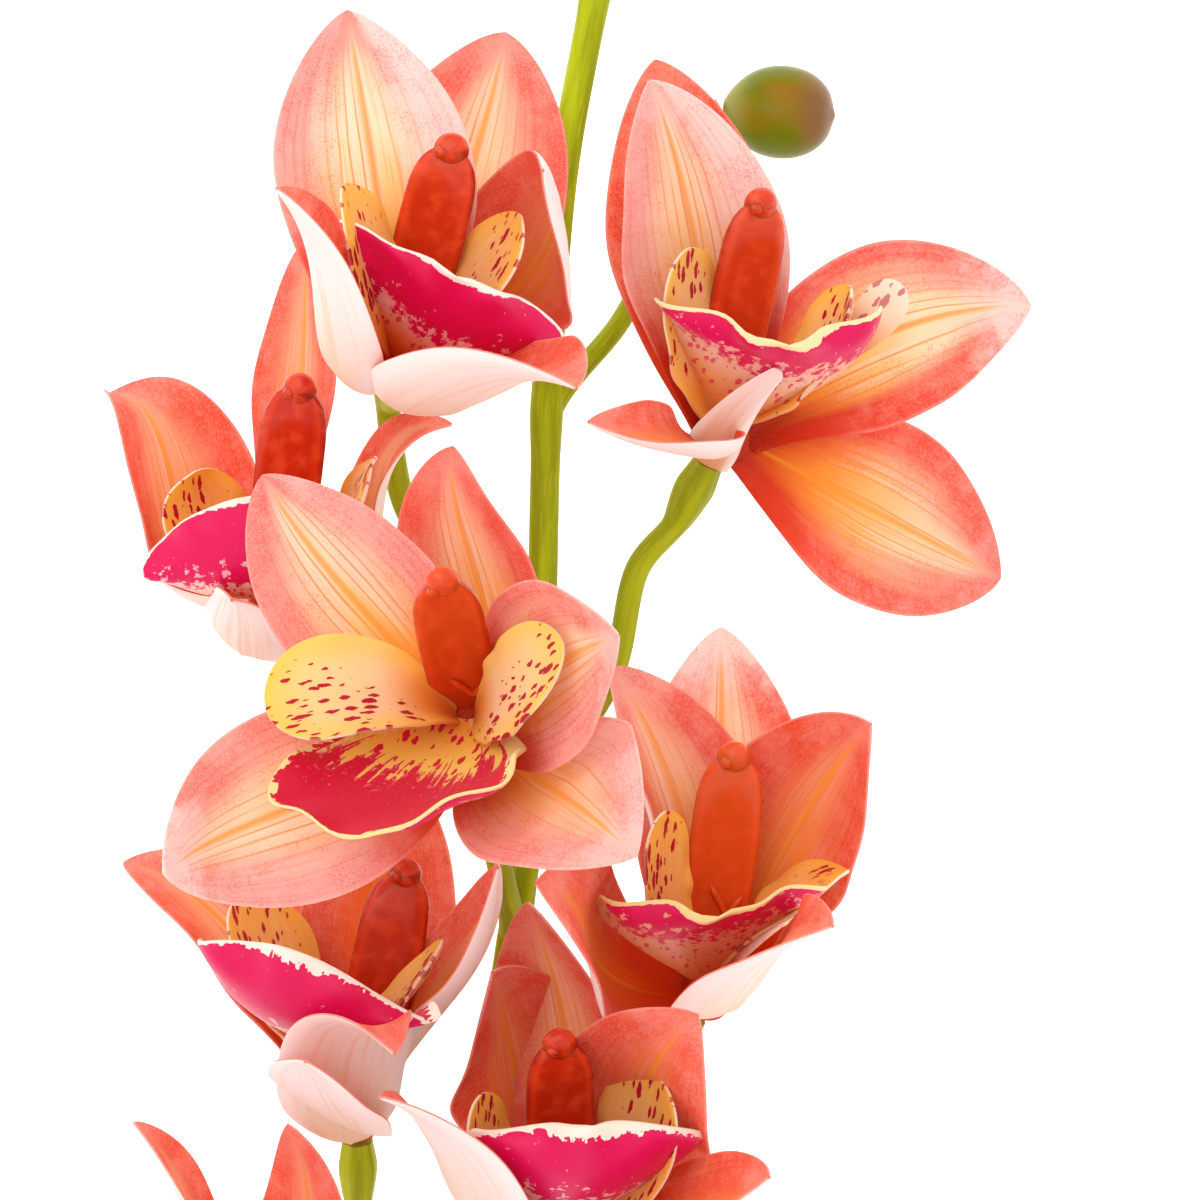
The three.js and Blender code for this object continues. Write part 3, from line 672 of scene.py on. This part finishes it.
# The blooms, as in the solids. glow is how orange the column is, warm how orange the side lobes, and yellow
# how yellow the lip is. cream is how far the middle pales of the top sepal, the left and right petal and the
# left and right sepal. powder is the white on the left half, right half and tip of a tepal. heart is the
# middle of the bloom, faces where its mouth points, and cap where the column ends from there. A blade's
# numbers are x, y and z of its tip, its width, how far its left and right half cup forward in degrees, how
# it bows and sways in mm, rolls in degrees, curls in mm and twists in degrees. Zeros at the end are left out.
blooms = {
    "upper_left": {
        "glow": 0.25, "warm": 0.45, "yellow": 0.0, "cream": (0.9, 1, 0.3, 0.3, 0.3),
        "heart": (-36, 40, 22), "faces": (0.15, 0.8, 0.58), "cap": (10, 39, 14),
        "powder": {"petalLeft": (0.35, 0.85, 0.15)},
        "sepalTop": (19, 62, -21, 38, 30, 35, 2, 1.5, 15, 2),
        "petalLeft": (-9, 65, -8, 36, 10, 35, -7, 0, -10, -2),
        "petalRight": (26, 34.5, 25, 34, 55, 35, 19, -5, 35, 0, -25),
        "sepalLeft": (-19, 30, 50, 30, 90, 95, 4, -6, -25, 3),
        "sepalRight": (32, -4, 54, 39, 60, 78, 2, 3, 0, 3, -15),
        "lobeLeft": (-5.5, 28.5, 10, 20, 5, 5, -3, -5, 0, 0, -10),
        "lobeRight": (20, 24, 11, 20, 20, 25, 1, 2, 20),
        "lobeMid": (11, 13, 21, 50, 80, 35, 3, -1, -10, 0, 10),
    },
    "upper_right": {
        "glow": 0.35, "warm": 0.2, "yellow": 0.8, "cream": (0.1, 0.9, 0.95, 0.2, 0.75),
        "heart": (22, 29, -6), "faces": (0.05, 0.75, 0.66), "cap": (7, 42, 14),
        "powder": {"petalLeft": (0.5, 0.9, 0.6), "petalRight": (0.15, 0, 0.8)},
        "sepalTop": (-12, 69, -4, 32, 25, 35, 1, 1.5, -10),
        "petalLeft": (-13, 64, 13, 34, 50, 40, 1, 3, -5, 0, 10),
        "petalRight": (57, 25, -18, 34, 40, 30, -1, -6, 40),
        "sepalLeft": (-24, 2, 50, 20, 120, 55, -2, -8, -10, 0, -70),
        "sepalRight": (52, -25, -31.45, 35, 30, 5, -3, 1, 40),
        "lobeLeft": (-5, 31, 12, 19, 15, 15, 1, -2, -35, 0, 10),
        "lobeRight": (19, 24, 8, 17, 30, 25, 3, 4, -10),
        "lobeMid": (10, 13, 26, 52, 110, 55, -1, -2, -20),
        "fold": {"foot": (-3.6, -4.4, 12), "blade": (13.6, 15.9, 14, 12, 50, 45, -1, 1.2), "seed": 11.0},
        "turnedLobe": {"foot": (22.4, 14.6, 9), "blade": (9.4, 13.4, -2, 8.5, 20, 25, 0.5), "seed": 23.0},
    },
    "middle_left": {
        "glow": 0.05, "warm": 0.6, "yellow": 0.1, "cream": (0.45, 0.5, 0.5, 0.3, 0.3),
        "heart": (-59, -1, -16), "faces": (-0.1, 0.82, 0.56), "cap": (5, 39, 19),
        "sepalTop": (5.5, 67, -2, 27, 10, 35, 0, 2, -35, 0, 15),
        "petalLeft": (-32, 39, -21.22, 34, 65, 90, 5, 0, 15, 8, 10),
        "petalRight": (32, 33, 0, 20, 35, 55, 3, -3.5, -10, 6),
        "sepalLeft": (-6.5, 1, 30, 18, 30, 60, 6.5, 0, -20, 3),
        "sepalRight": (27, -4, 25, 26, 40, 40, 14),
        "lobeLeft": (-12, 20.5, -2, 21, 15, 25, 5, 0, -10),
        "lobeRight": (18, 23, 5, 18, 25, 20, 4, 2, 5, 2),
        "lobeMid": (-4, 16, 22, 43, 50, 30, 9, -1, 15, 0, -10),
    },
    "centre": {
        "glow": 0.55, "warm": 0.0, "yellow": 1.0, "cream": (0.7, 1, 0.75, 0.85, 0.65),
        "heart": (-23, -22, 34), "faces": (-0.08, 0.55, 0.83), "cap": (-4, 25, 36), "columnRoot": 8,
        "powder": {"petalLeft": (0.3, 0.5, 0.15), "petalRight": (0.3, 0.4, 0.5),
                   "sepalLeft": (0.5, 0.3, 0.9), "sepalRight": (0.6, 0.4, 0.6)},
        "sepalTop": (-3, 49, -6, 29, 35, 40, 17, -4, -20, 5),
        "petalLeft": (-36.5, 44, -8, 31, 30, 25, 5, -2, -25, 3),
        "petalRight": (26, 16, 58, 33, 45, 5, 0, -2, 45, 0, 10),
        "sepalLeft": (-52, -25, 23, 35, 15, -5, 2, 0, -45, -5, -10),
        "sepalRight": (29, -21, 54, 35, 15, 10, -1, 0, 10, 2, 25),
        "lobeLeft": (-32, 1, 15, 23, 35, 45, -6, 0, 15),
        "lobeRight": (15, 13, 37, 18, 25, 25, -3, 3, 10, 0, 15),
        "lobeMid": (-16, -19, 37, 48, 45, 50, 2, 0, -10, 0, 10),
    },
    "lower_right": {
        "glow": 0.9, "warm": 0.65, "yellow": 1.0, "cream": (0.85, 0.65, 0.3, 0.15, 0.3),
        "heart": (19, -71, 0), "faces": (0.12, 0.8, 0.58), "cap": (5, 43, 11),
        "powder": {"sepalTop": (0.3, 0, 1), "petalLeft": (0, 0.1, 0.4)},
        "sepalTop": (3, 66, -16, 33, 35, 35, 3, 1, -10),
        "petalLeft": (-17, 59, -6, 32, 80, 50, -3, 4, 10),
        "petalRight": (29, 49, 19, 35, 50, 45, 9, -6, 20, 0, -10),
        "sepalLeft": (-30, 22, 50, 30, 25, 50, 5, 0, -40, 4),
        "sepalRight": (21, 15, 59, 31, 40, 65, 0, 4, 30, 2, 15),
        "lobeLeft": (-5.5, 30, 15, 14, 20, 35, 1, -5, -30),
        "lobeRight": (22, 20, 9, 21, 15, 15, -4, 4, -15, 0, 15),
        "lobeMid": (1, 12.5, 31, 46, 35, 85, 0, 1, 15),
    },
    "lower_left": {
        "glow": 0.15, "warm": 0.6, "yellow": 0.0, "paleRim": 0.7, "cream": (0, 0.4, 0.5, 0.3, 0.3),
        "heart": (-44, -93, -4), "faces": (0.1, 0.81, 0.58), "cap": (9, 44, 6),
        "sepalTop": (7, 64, -15, 30, 40, 40, 3),
        "petalLeft": (-43, 45, -15, 30, 60, 50, -4, 4, 0, 2),
        "petalRight": (26, 46, 36, 29, 40, 80, 4, -4, 8, -2),
        "sepalLeft": (-7, 13, 52, 24, 30, 20, 3, -1, -10),
        "sepalRight": (8.5, 14.5, 54, 26, 65, 40, -2, 5, 0, 6),
        "lobeLeft": (-16, 36, -3, 24, 20, 20, 1, -4, -10, 0, -20),
        "lobeRight": (13, 29, 13, 12, 35, 20, -4, 2, -5, -2),
        "lobeMid": (-8, 27.5, 28, 53, 60, 55, 3, 3, -18, -4),
    },
    "lower_middle": {
        "glow": 0.1, "warm": 0.5, "yellow": 0.1, "paleRim": 0.75, "cream": (0.6, 0.25, 0.2, 0.3, 0.15),
        "heart": (-7, -117, 9), "faces": (0.02, 0.81, 0.59), "cap": (0, 39, 22),
        "sepalTop": (-6, 63, 3, 32, 45, 60, 10, 0, -40, 0, -10),
        "petalLeft": (-12, 51, 11, 32, 35, 40, 15, 7, 0, 0, 20),
        "petalRight": (24, 45, 37, 33, 30, 0, 6, -4, 60, 4),
        "sepalLeft": (-31, 31, 42, 30, 45, 35, 2, -3, 15, 3),
        "sepalRight": (36, 18, 52, 30, 50, 40, 2, 1, 15),
        "lobeLeft": (-12, 27, 16, 19, 10, 30, 3, -5, -20),
        "lobeRight": (14, 30, 18, 26, 10, 20, 1, 4, 10, 0, 15),
        "lobeMid": (5, 23, 33, 49, 65, 80, 4, 0, 0, -2, -20),
    },
    "lowest": {
        "glow": 0.2, "warm": 0.5, "yellow": 0.0, "cream": (0.4, 0.4, 0.3, 0.3, 0.3),
        "heart": (-66, -154, -2), "faces": (0, 0.81, 0.59), "cap": (3, 40, 17),
        "sepalTop": (10, 60, 8, 27, 20, 15, 5, 4, -25, -2),
        "petalLeft": (-17, 61, 16, 22, 65, 35, -3, 3, 45, 2),
        "petalRight": (21, 35, 50, 30, 40, 40, 5),
        "sepalLeft": (-33, 26, 48, 30, 40, 40, 5),
        "sepalRight": (26, 2, 58, 30, 40, 40, 5),
        "lobeLeft": (-13, 24, 24, 18, 10, 20, 2, -3),
        "lobeRight": (15, 25, 23, 18, 20, 10, 2, 3),
        "lobeMid": (2, 12, 36, 42, 50, 50, 3),
    },
}

tepals = {
    "rows": 46, "columns": 28,
    "footRadius": 3.0,  # where a tepal leaves the receptacle
    "thickness": 1.0, "edgeThickness": 0.35,
    "ripple": 0.55, "ripples": 2.3,  # how far and how often the margin waves
    "groove": 0.45,  # depth of the midrib
    "grooveWidth": 0.07,  # as a share of the half-width
    "receptacle": 5.2,
    "gap": 0.35,  # between the receptacle and what is seated on it
    "powder": (0.05, 0.05, 0.15),  # of a tepal that names none
}


def ballRings(centre, radius, axis, side, other, squash, rows=17, columns=32, pole=0.04, lobing=0.0):
    # a ball flattened along its axis; pole is the angle at each end that a fan closes
    polar = np.linspace(pole, np.pi - pole, rows)
    turn = fullCircle(columns)[None, :]
    wide = np.sin(polar)[:, None] * (1 + lobing * np.cos(5 * turn))
    rise = (np.cos(polar)[:, None] * squash + 0 * turn)[..., None]
    return centre + radius * (axis * rise + spread(side, other, wide * np.cos(turn), wide * np.sin(turn)))


def makeTepals(name, bloom):
    mesh = newMesh()
    heart, out, up, right = bloomFrame(bloom)
    u, v = gridLines(tepals["rows"], tepals["columns"])
    u1, v1 = u[:, None], v[None, :]
    parts = ("sepalTop", "petalLeft", "petalRight", "sepalLeft", "sepalRight")
    for part, cream in zip(parts, bloom["cream"]):
        tip = np.array(bloom[part][:3], float)
        foot = unit(tip - out * np.dot(tip, out)) * tepals["footRadius"]
        blade = (*(tip - foot), *bloom[part][3:])
        points, normals, size = bladeSurface(heart + foot, out, blade, tepalOutline, u, v)
        seed, left, rightward = (draw.uniform(0, top) for top in (seedTop, phaseTop, phaseTop))
        phase = 2 * np.pi * tepals["ripples"] * u1 + np.where(v1 < 0, left, rightward)
        ripple = np.sin(phase) * v1 ** 2 * np.sin(np.pi * u1)
        groove = np.exp(-(v1 / tepals["grooveWidth"]) ** 2) * (1 - u1) * smooth(0, 0.15, u1)
        points = points + normals * (tepals["ripple"] * ripple - tepals["groove"] * groove)[..., None]
        thickness = thicknesses(tepals, np.sqrt(np.maximum(1 - np.abs(v1) ** 5, 0)) * (1 - 0.45 * u1))
        look = (*bloom.get("powder", {}).get(part, tepals["powder"]), cream)
        addBlade(mesh, points, normals, thickness, u, v, size, (0, 1, 0), look, seed)
    if "fold" in bloom:
        # half of a sepal, folded over the lip
        look = (*tepals["powder"], 0.3)
        addTurned(mesh, heart, bloom["fold"], foldOutline, 2 * tepals["edgeThickness"], look, u, v)
    ball = ballRings(heart + out * 0.5, tepals["receptacle"], out, up, right, 1.0, 15, 30, 0.05, lobing=0.05)
    addRings(mesh, ball, np.zeros(len(ball)))
    makePiece(name + "_perianth", mesh, "tepal", name + "_tepals")


lips = {
    "rows": 44, "columns": 40,
    "thickness": 1.1, "edgeThickness": 0.4,
    "throat": (6, -2),  # how far out of the heart and up from it the lobes start
    "mid": {"waves": 9.0, "depth": 0.8},  # how often and how far the rim waves
    "side": {"waves": 5, "depth": 0.4},
    "secondWaves": 6.3, "secondShare": 0.6,  # a second set on top, as a share of the depth
    "paleRim": 0.1,  # of a bloom that names none
}


def makeLip(name, bloom):
    mesh = newMesh()
    heart, out, up, right = bloomFrame(bloom)
    throat = heart + out * lips["throat"][0] + up * lips["throat"][1]
    u, v = gridLines(lips["rows"], lips["columns"])
    u1, v1 = u[:, None], v[None, :]
    lobes = (
        ("lobeLeft", throat - right * 2, right + out * 0.8),
        ("lobeRight", throat + right * 2, out * 0.8 - right),
        ("lobeMid", throat - up, up + out * 0.35),
    )
    for part, base, face in lobes:
        blade = bloom[part]
        points, normals, size = bladeSurface(base, unit(face), blade, lobeOutline, u, v)
        seed, phase, second = (draw.uniform(0, top) for top in (seedTop, phaseTop, phaseTop))
        length, half = np.linalg.norm(blade[:3]), blade[3] / 2
        # where a point lies from the middle of the lobe: how far out, and which way round
        reach = np.hypot(size[..., 0] / half, (size[..., 1] / length - 0.5) / 0.5)
        turn = np.arctan2(size[..., 0], size[..., 1] - 0.5 * length)
        mid = part == "lobeMid"
        rim = lips["mid" if mid else "side"]
        waves = np.sin(turn * rim["waves"] + phase)
        waves = waves + lips["secondShare"] * np.sin(turn * lips["secondWaves"] + second)
        fade = smooth(0.62, 1.05, np.maximum(reach, np.abs(v1) ** 2)) * smooth(0.1, 0.35, u1)
        points = points + normals * (rim["depth"] * waves * fade)[..., None]
        taper = np.sqrt(np.maximum(1 - np.abs(v1) ** 6, 0)) * np.sqrt(np.maximum(1 - u1 ** 8, 0))
        # look tells the mid lobe how far the rim is, in cm, which way round, how yellow the lobe is and how
        # pale its rim; it tells a side lobe how warm it is and on which side its dashes crowd
        toSide, toTip = (1 - np.abs(v1)) * lobeOutline(u1) * half, (1 - u1) * length
        fromRim = 1 / np.sqrt(sum(1 / np.maximum(way, 0.01) ** 2 for way in (toSide, toTip))) / centimetre
        if mid:
            parts = (np.minimum(fromRim, 1), turn / (2 * np.pi) + 0.5, bloom["yellow"],
                     bloom.get("paleRim", lips["paleRim"]))
            look = np.tile(np.stack(np.broadcast_arrays(*parts), axis=-1).reshape(-1, 4), (2, 1))
        else:
            look = (bloom["warm"], 0 if part == "lobeLeft" else 1, 0, 1)
        slots = (2, 3, 3) if mid else (0, 1, 1)
        addBlade(mesh, points, normals, thicknesses(lips, taper), u, v, size, slots, look, seed)
    if "turnedLobe" in bloom:
        # the end of the right side lobe, turned outward
        thickness = 2 * lips["edgeThickness"]
        addTurned(mesh, heart, bloom["turnedLobe"], lobeOutline, thickness, (0, 1, 0, 1), u, v)
    makePiece(name + "_labellum", mesh, "lip", name + "_lip")


columns = {
    "width": 12.6, "depth": 7.0,
    "foot": (6, 1.5),  # how far out of the heart and up from it the column starts
    "girthAt": (0, 0.25, 0.55, 0.78, 0.86, 0.92, 0.96, 0.995),
    "girth": (0.82, 0.92, 1.0, 0.97, 0.9, 0.78, 0.62, 0.4),
    "hollow": 0.14,  # how far the front is dished, as a share of the depth
    "cap": 3.15, "bead": 1.2,  # radii in mm
    "flap": 0.6,  # half the thickness of the flap low on the front
    "flapBack": 0.21,  # how far it stands before the middle, as a share of the depth
    "flapRoute": ((-4.2, 1.8), (-3.2, 0.2), (-1.8, -1.6), (-0.3, 0.4), (1.6, 3.2)),
    "footBall": 3.6,  # radius of the swelling that closes the throat
}


def makeColumn(name, bloom):
    mesh = newMesh()
    heart, out, up, right = bloomFrame(bloom)
    warm = bloom["glow"]
    top = heart + np.array(bloom["cap"], float)
    foot = heart + out * columns["foot"][0] + up * columns["foot"][1]
    along = unit(top - foot)
    foot = foot - along * bloom.get("columnRoot", 0)
    run = top - foot
    across = unit(np.cross(along, up))
    back = np.cross(across, along)
    # the body keeps its width up to round shoulders, which close under the cap
    share = np.concatenate([np.linspace(0, 0.8, 20), np.linspace(0.82, 0.995, 16)])
    girth = blurred(np.interp(share, columns["girthAt"], columns["girth"]), (0.25, 0.5, 0.25))[:, None]
    turn = fullCircle(40)[None, :]
    wide = columns["width"] / 2 * girth * np.sign(np.cos(turn)) * np.abs(np.cos(turn)) ** 0.85
    deep = columns["depth"] / 2 * girth * np.sin(turn) * np.where(np.sin(turn) < 0, 0.5, 1)
    dish = columns["hollow"] * columns["depth"] * girth * np.maximum(-np.sin(turn), 0) ** 3
    dish = dish * (smooth(0.1, 0.4, share) * smooth(0.92, 0.62, share))[:, None]
    line = foot + run * share[:, None]
    addRings(mesh, line[:, None] + spread(across, back, wide, deep + dish), share, warmth=warm)
    # the cap sits flush with the front, with a small bead low on one side of it
    cap = top - along * 0.4 + back * 0.45
    bead = cap - back * columns["cap"] * 0.5 + across * 1.5 - along * 0.5
    balls = (
        (ballRings(cap, columns["cap"], back, across, along, 0.72), 1),
        (ballRings(bead, columns["bead"], back, across, along, 0.8), 1),
        (ballRings(foot - along * 1.5, columns["footBall"], out, right, up, 0.6), 0),
    )
    for ball, share in balls:
        addRings(mesh, ball, np.full(len(ball), share), warmth=warm)
    # the flap: a low V across the front
    level = foot + run * 0.3 - back * columns["depth"] * columns["flapBack"]
    flap = [level + across * sideways + along * lengthways for sideways, lengthways in columns["flapRoute"]]
    path, distance = smoothRoute(flap, 0.4)
    ends = np.sqrt(np.clip(np.minimum(distance, distance[-1] - distance) / 1.5, 0.03, 1))
    addRings(mesh, tubeRings(path, columns["flap"] * ends, 10), distance * 0 + 1, warmth=warm)
    makePiece(name + "_gynostemium", mesh, "column", name + "_column")


def smoothRoute(route, spacing):
    # a curve through every point of a route, with points at even steps along it
    route = np.asarray(route, float)
    route = np.concatenate([[2 * route[0] - route[1]], route, [2 * route[-1] - route[-2]]])
    t = np.linspace(0, 1, 41)[:, None]
    pieces = []
    for p0, p1, p2, p3 in zip(route, route[1:], route[2:], route[3:]):
        g0, g1, g2 = (math.sqrt(np.linalg.norm(b - a)) for a, b in ((p0, p1), (p1, p2), (p2, p3)))
        leave = ((p1 - p0) / g0 - (p2 - p0) / (g0 + g1) + (p2 - p1) / g1) * g1
        arrive = ((p2 - p1) / g1 - (p3 - p1) / (g1 + g2) + (p3 - p2) / g2) * g1
        cubic, square = 2 * p1 - 2 * p2 + leave + arrive, -3 * p1 + 3 * p2 - 2 * leave - arrive
        pieces.append((cubic * t ** 3 + square * t ** 2 + leave * t + p1)[:-1])
    points = np.concatenate(pieces + [route[-2:-1]])
    distance = np.concatenate([[0], np.cumsum(np.linalg.norm(np.diff(points, axis=0), axis=1))])
    even = np.linspace(0, distance[-1], int(distance[-1] / spacing) + 2)
    return np.stack([np.interp(even, distance, points[:, k]) for k in range(3)], axis=-1), even


def tubeRings(points, radii, sides, ridges=None):
    # rings square to a path, carried along it without twisting; ridges is how far six ribs stand out
    runs = unit(np.gradient(points, axis=0))
    side = unit(np.cross(runs[0], (0.3, 0.2, 1.0)))
    turn = fullCircle(sides)
    rings = []
    for point, run, radius, ridge in zip(points, runs, radii, 0 * radii if ridges is None else ridges):
        side = unit(side - run * np.dot(side, run))
        reach = radius * (1 + ridge * np.cos(6 * turn))
        rings.append(point + spread(side, np.cross(run, side), reach * np.cos(turn), reach * np.sin(turn)))
    return np.array(rings)


for name, bloom in blooms.items():
    makeTepals(name, bloom)
    makeLip(name, bloom)
    makeColumn(name, bloom)
print("blooms made:", len(blooms))


stalks = {
    "radius": 2.65, "pedicel": 2.25, "budStalk": 1.9,
    "ovaryLength": 13.0, "ovaryRadius": 3.6, "ovaryRidge": 0.06,
    "leans": 0.8,  # how far an ovary leans from its pedicel's own direction towards the bloom's
    "leansLess": {"upper_left": 0.25, "upper_right": 0.25},
    "warmth": 0.3,  # how much of the ovary's own green a pedicel has
    "flare": 0.9,  # how much a branch widens where it leaves the stalk
    "swelling": 0.35,  # how much the stalk thickens there
    "route": (
        (-28, -322, -35.35), (-30, -290, -32), (-34, -250, -22.5), (-36, -200, -10), (-31, -150, -8),
        (-24.5, -117, -9), (-19.5, -81, -8), (-14, -51, -3), (-11, -18, 0), (-10, 18, 0), (-9.5, 37, 0),
        (-8, 63, 0), (-6, 81, 0), (-1, 108, 2), (2, 126, 4), (1, 140, 6)),
    "pedicels": {
        "upper_left": ((-13, -22, 0), (-24, 0, -13), (-36, 18, -25), (-39, 36, -26)),
        "upper_right": ((-13, -36, 0), (2, -14, -11), (7, 6, -12)),
        "middle_left": ((-13, -36, 0), (-30, -27, -14), (-44, -14, -22)),
        "centre": ((-15, -60, -4), (-17, -52, 4)),
        "lower_right": ((-22, -98, -9), (-6, -97, -12)),
        "lower_left": ((-32, -156, -8), (-40, -132, -13)),
        "lower_middle": ((-31, -150, -8), (-20, -146, -8)),
        "lowest": ((-36, -196, -10), (-50, -188, -16)),
    },
}
buds = {
    "side_bud": {
        "route": ((-9.5, 34, 0), (-4, 41, -4), (4, 51, -11), (13, 70, -20), (19, 88, -21), (22, 90, -20.6)),
        "heads": (1, -0.08, 0.15), "length": 20.5, "radius": 8.6},
    "upper_bud": {
        "route": ((-1, 112, 2), (5, 122, 8), (9, 130, 13)),
        "heads": (0.4, 0.8, 0.45), "length": 17, "radius": 6.6},
    "tip_bud": {
        "route": ((1, 138, 6), (0, 143, 8), (-2, 148, 9)),
        "heads": (-0.35, 0.9, 0.15), "length": 13, "radius": 4.6},
}
budForm = {
    "at": (0, 0.04, 0.12, 0.22, 0.35, 0.5, 0.64, 0.76, 0.86, 0.94, 1.0),
    "girth": (0.18, 0.36, 0.6, 0.8, 0.94, 1.0, 0.97, 0.88, 0.72, 0.5, 0.0),
    "seam": 0.045,  # depth of the lines where the closed sepals meet, as a share of the radius
    "seamWidth": 0.07,  # radians
}
softening = (0.1, 0.2, 0.4, 0.2, 0.1)


def makeStalk():
    mesh = newMesh()
    points, distance = smoothRoute(stalks["route"], 1.5)
    forks = [bends[0] for bends in stalks["pedicels"].values()] + [bud["route"][0] for bud in buds.values()]
    near = sum(np.exp(-(np.linalg.norm(points - np.array(fork), axis=1) / 6) ** 2) for fork in forks)
    radii = stalks["radius"] + stalks["swelling"] * np.minimum(near, 1)
    radii = radii * (1 - 0.35 * smooth(distance[-1] - 14, distance[-1], distance))
    addRings(mesh, tubeRings(points, radii, 28), distance, seed=3.0)
    makePiece("flower_stalk", mesh, "stem", "stem")


def makePedicel(name, bloom, bends):
    mesh = newMesh()
    heart, out = bloomFrame(bloom)[:2]
    lean = stalks["leansLess"].get(name, stalks["leans"])
    direction = unit(unit(heart - np.array(bends[-1], float)) + out * lean)
    ovary = stalks["ovaryLength"]
    foot = heart + out * 0.5 - direction * (tepals["receptacle"] + tepals["gap"] + ovary)
    route = [*bends, foot, foot + direction * 0.5 * ovary, foot + direction * ovary]
    points, distance = smoothRoute(route, 0.8)
    left = distance[-1] - distance
    radii = np.interp(left, (0, 0.4 * ovary, 0.75 * ovary, ovary + 1),
                      (2.7, stalks["ovaryRadius"], 3.0, stalks["pedicel"]))
    radii = blurred(radii + stalks["flare"] * np.exp(-(distance / 4) ** 2), softening)
    ridges = stalks["ovaryRidge"] * smooth(ovary + 2, ovary - 3, left)
    seed = draw.uniform(0, seedTop)
    addRings(mesh, tubeRings(points, radii, 30, ridges), distance, seed, stalks["warmth"])
    makePiece(name + "_pedicel", mesh, "stem", "stem")


def makeBud(name, bud):
    mesh = newMesh()
    points, distance = smoothRoute(bud["route"], 0.8)
    radii = stalks["budStalk"] + 0.7 * stalks["flare"] * np.exp(-(distance / 3.5) ** 2)
    addRings(mesh, tubeRings(points, radii, 24), distance, draw.uniform(0, seedTop))
    makePiece(name + "_stalk", mesh, "stem", "stem")
    mesh = newMesh()
    heads = unit(np.array(bud["heads"], float))
    side = unit(np.cross(heads, (0.1, 0.3, 1.0)))
    share = 0.5 - 0.5 * np.cos(np.linspace(0.02, np.pi - 0.02, 40))
    girth = blurred(np.interp(share, budForm["at"], budForm["girth"]), softening)
    turn = fullCircle(60)
    toSeam = np.abs((turn / (2 * np.pi) * 3 + 0.25) % 1 - 0.5) * 2 * np.pi / 3
    seam = np.exp(-(toSeam / budForm["seamWidth"]) ** 2) * smooth(0.1, 0.3, share)[:, None]
    radius = bud["radius"] * girth[:, None] * (1 - budForm["seam"] * seam)
    start = np.array(bud["route"][-1], float) + heads * 0.7
    ring = spread(side, np.cross(heads, side), radius * np.cos(turn), radius * np.sin(turn))
    rings = start + heads * (bud["length"] * share)[:, None, None] + ring
    addRings(mesh, rings, share, draw.uniform(0, seedTop))
    makePiece(name + "_sepals", mesh, "bud", name)


makeStalk()
for name, bends in stalks["pedicels"].items():
    makePedicel(name, blooms[name], bends)
for name, bud in buds.items():
    makeBud(name, bud)
print("stalk and buds made")

scene = bpy.context.scene
studio = {
    "table": "#FAFAFA", "tableGlow": 0.7, "tableHalf": 4,  # m
    "world": "#FFFFFF", "worldStrength": 1.1,
    "lamp": 8.0,  # W
    "lampSize": 1.3, "lampAt": (-0.35, 0.5, 1.25), "lampAim": (0.0, 0.08, 0.04),  # m
    "sensor": 36,  # mm
}


def makeTable():
    # opal acrylic lit from below: white, with hardly a shadow on it
    newMaterial("opalLightTable", studio)
    white = colour(studio["table"])
    add("OutputMaterial", {"Surface": add("BsdfPrincipled", {
        "Base Color": white, "Roughness": 0.8, "Emission Color": white,
        "Emission Strength": studio["tableGlow"]})})
    data, half = bpy.data.meshes.new("table"), studio["tableHalf"]
    corners = [(x * half, y * half, 0) for x, y in ((-1, -1), (1, -1), (1, 1), (-1, 1))]
    data.from_pydata(corners, [], [(0, 1, 2, 3)])
    data.materials.append(bench["material"])
    placed("table", data)


def makeLights():
    world = bpy.data.worlds.new("softRoom")
    world.use_nodes = True
    backdrop = world.node_tree.nodes["Background"]
    backdrop.inputs["Color"].default_value = colour(studio["world"])
    backdrop.inputs["Strength"].default_value = studio["worldStrength"]
    scene.world = world
    lamp = bpy.data.lights.new("softbox", "AREA")
    lamp.energy, lamp.size = studio["lamp"], studio["lampSize"]
    softbox = placed("softbox", lamp)
    softbox.location = studio["lampAt"]
    aim = Vector(studio["lampAim"]) - softbox.location
    softbox.rotation_euler = aim.to_track_quat("-Z", "Y").to_euler()


def makeCamera():
    data = bpy.data.cameras.new("overhead")
    data.sensor_width = studio["sensor"]
    data.lens = studio["sensor"] * spray["eyeHeight"] / spray["frameWidth"]
    camera = placed("overhead", data)
    x, y, z = spray["origin"]
    camera.location = (x / metre, y / metre, (z + spray["eyeHeight"]) / metre)
    scene.camera = camera


makeTable()
makeLights()
makeCamera()
scene.view_settings.view_transform = "Standard"
print("table, lights and camera set")
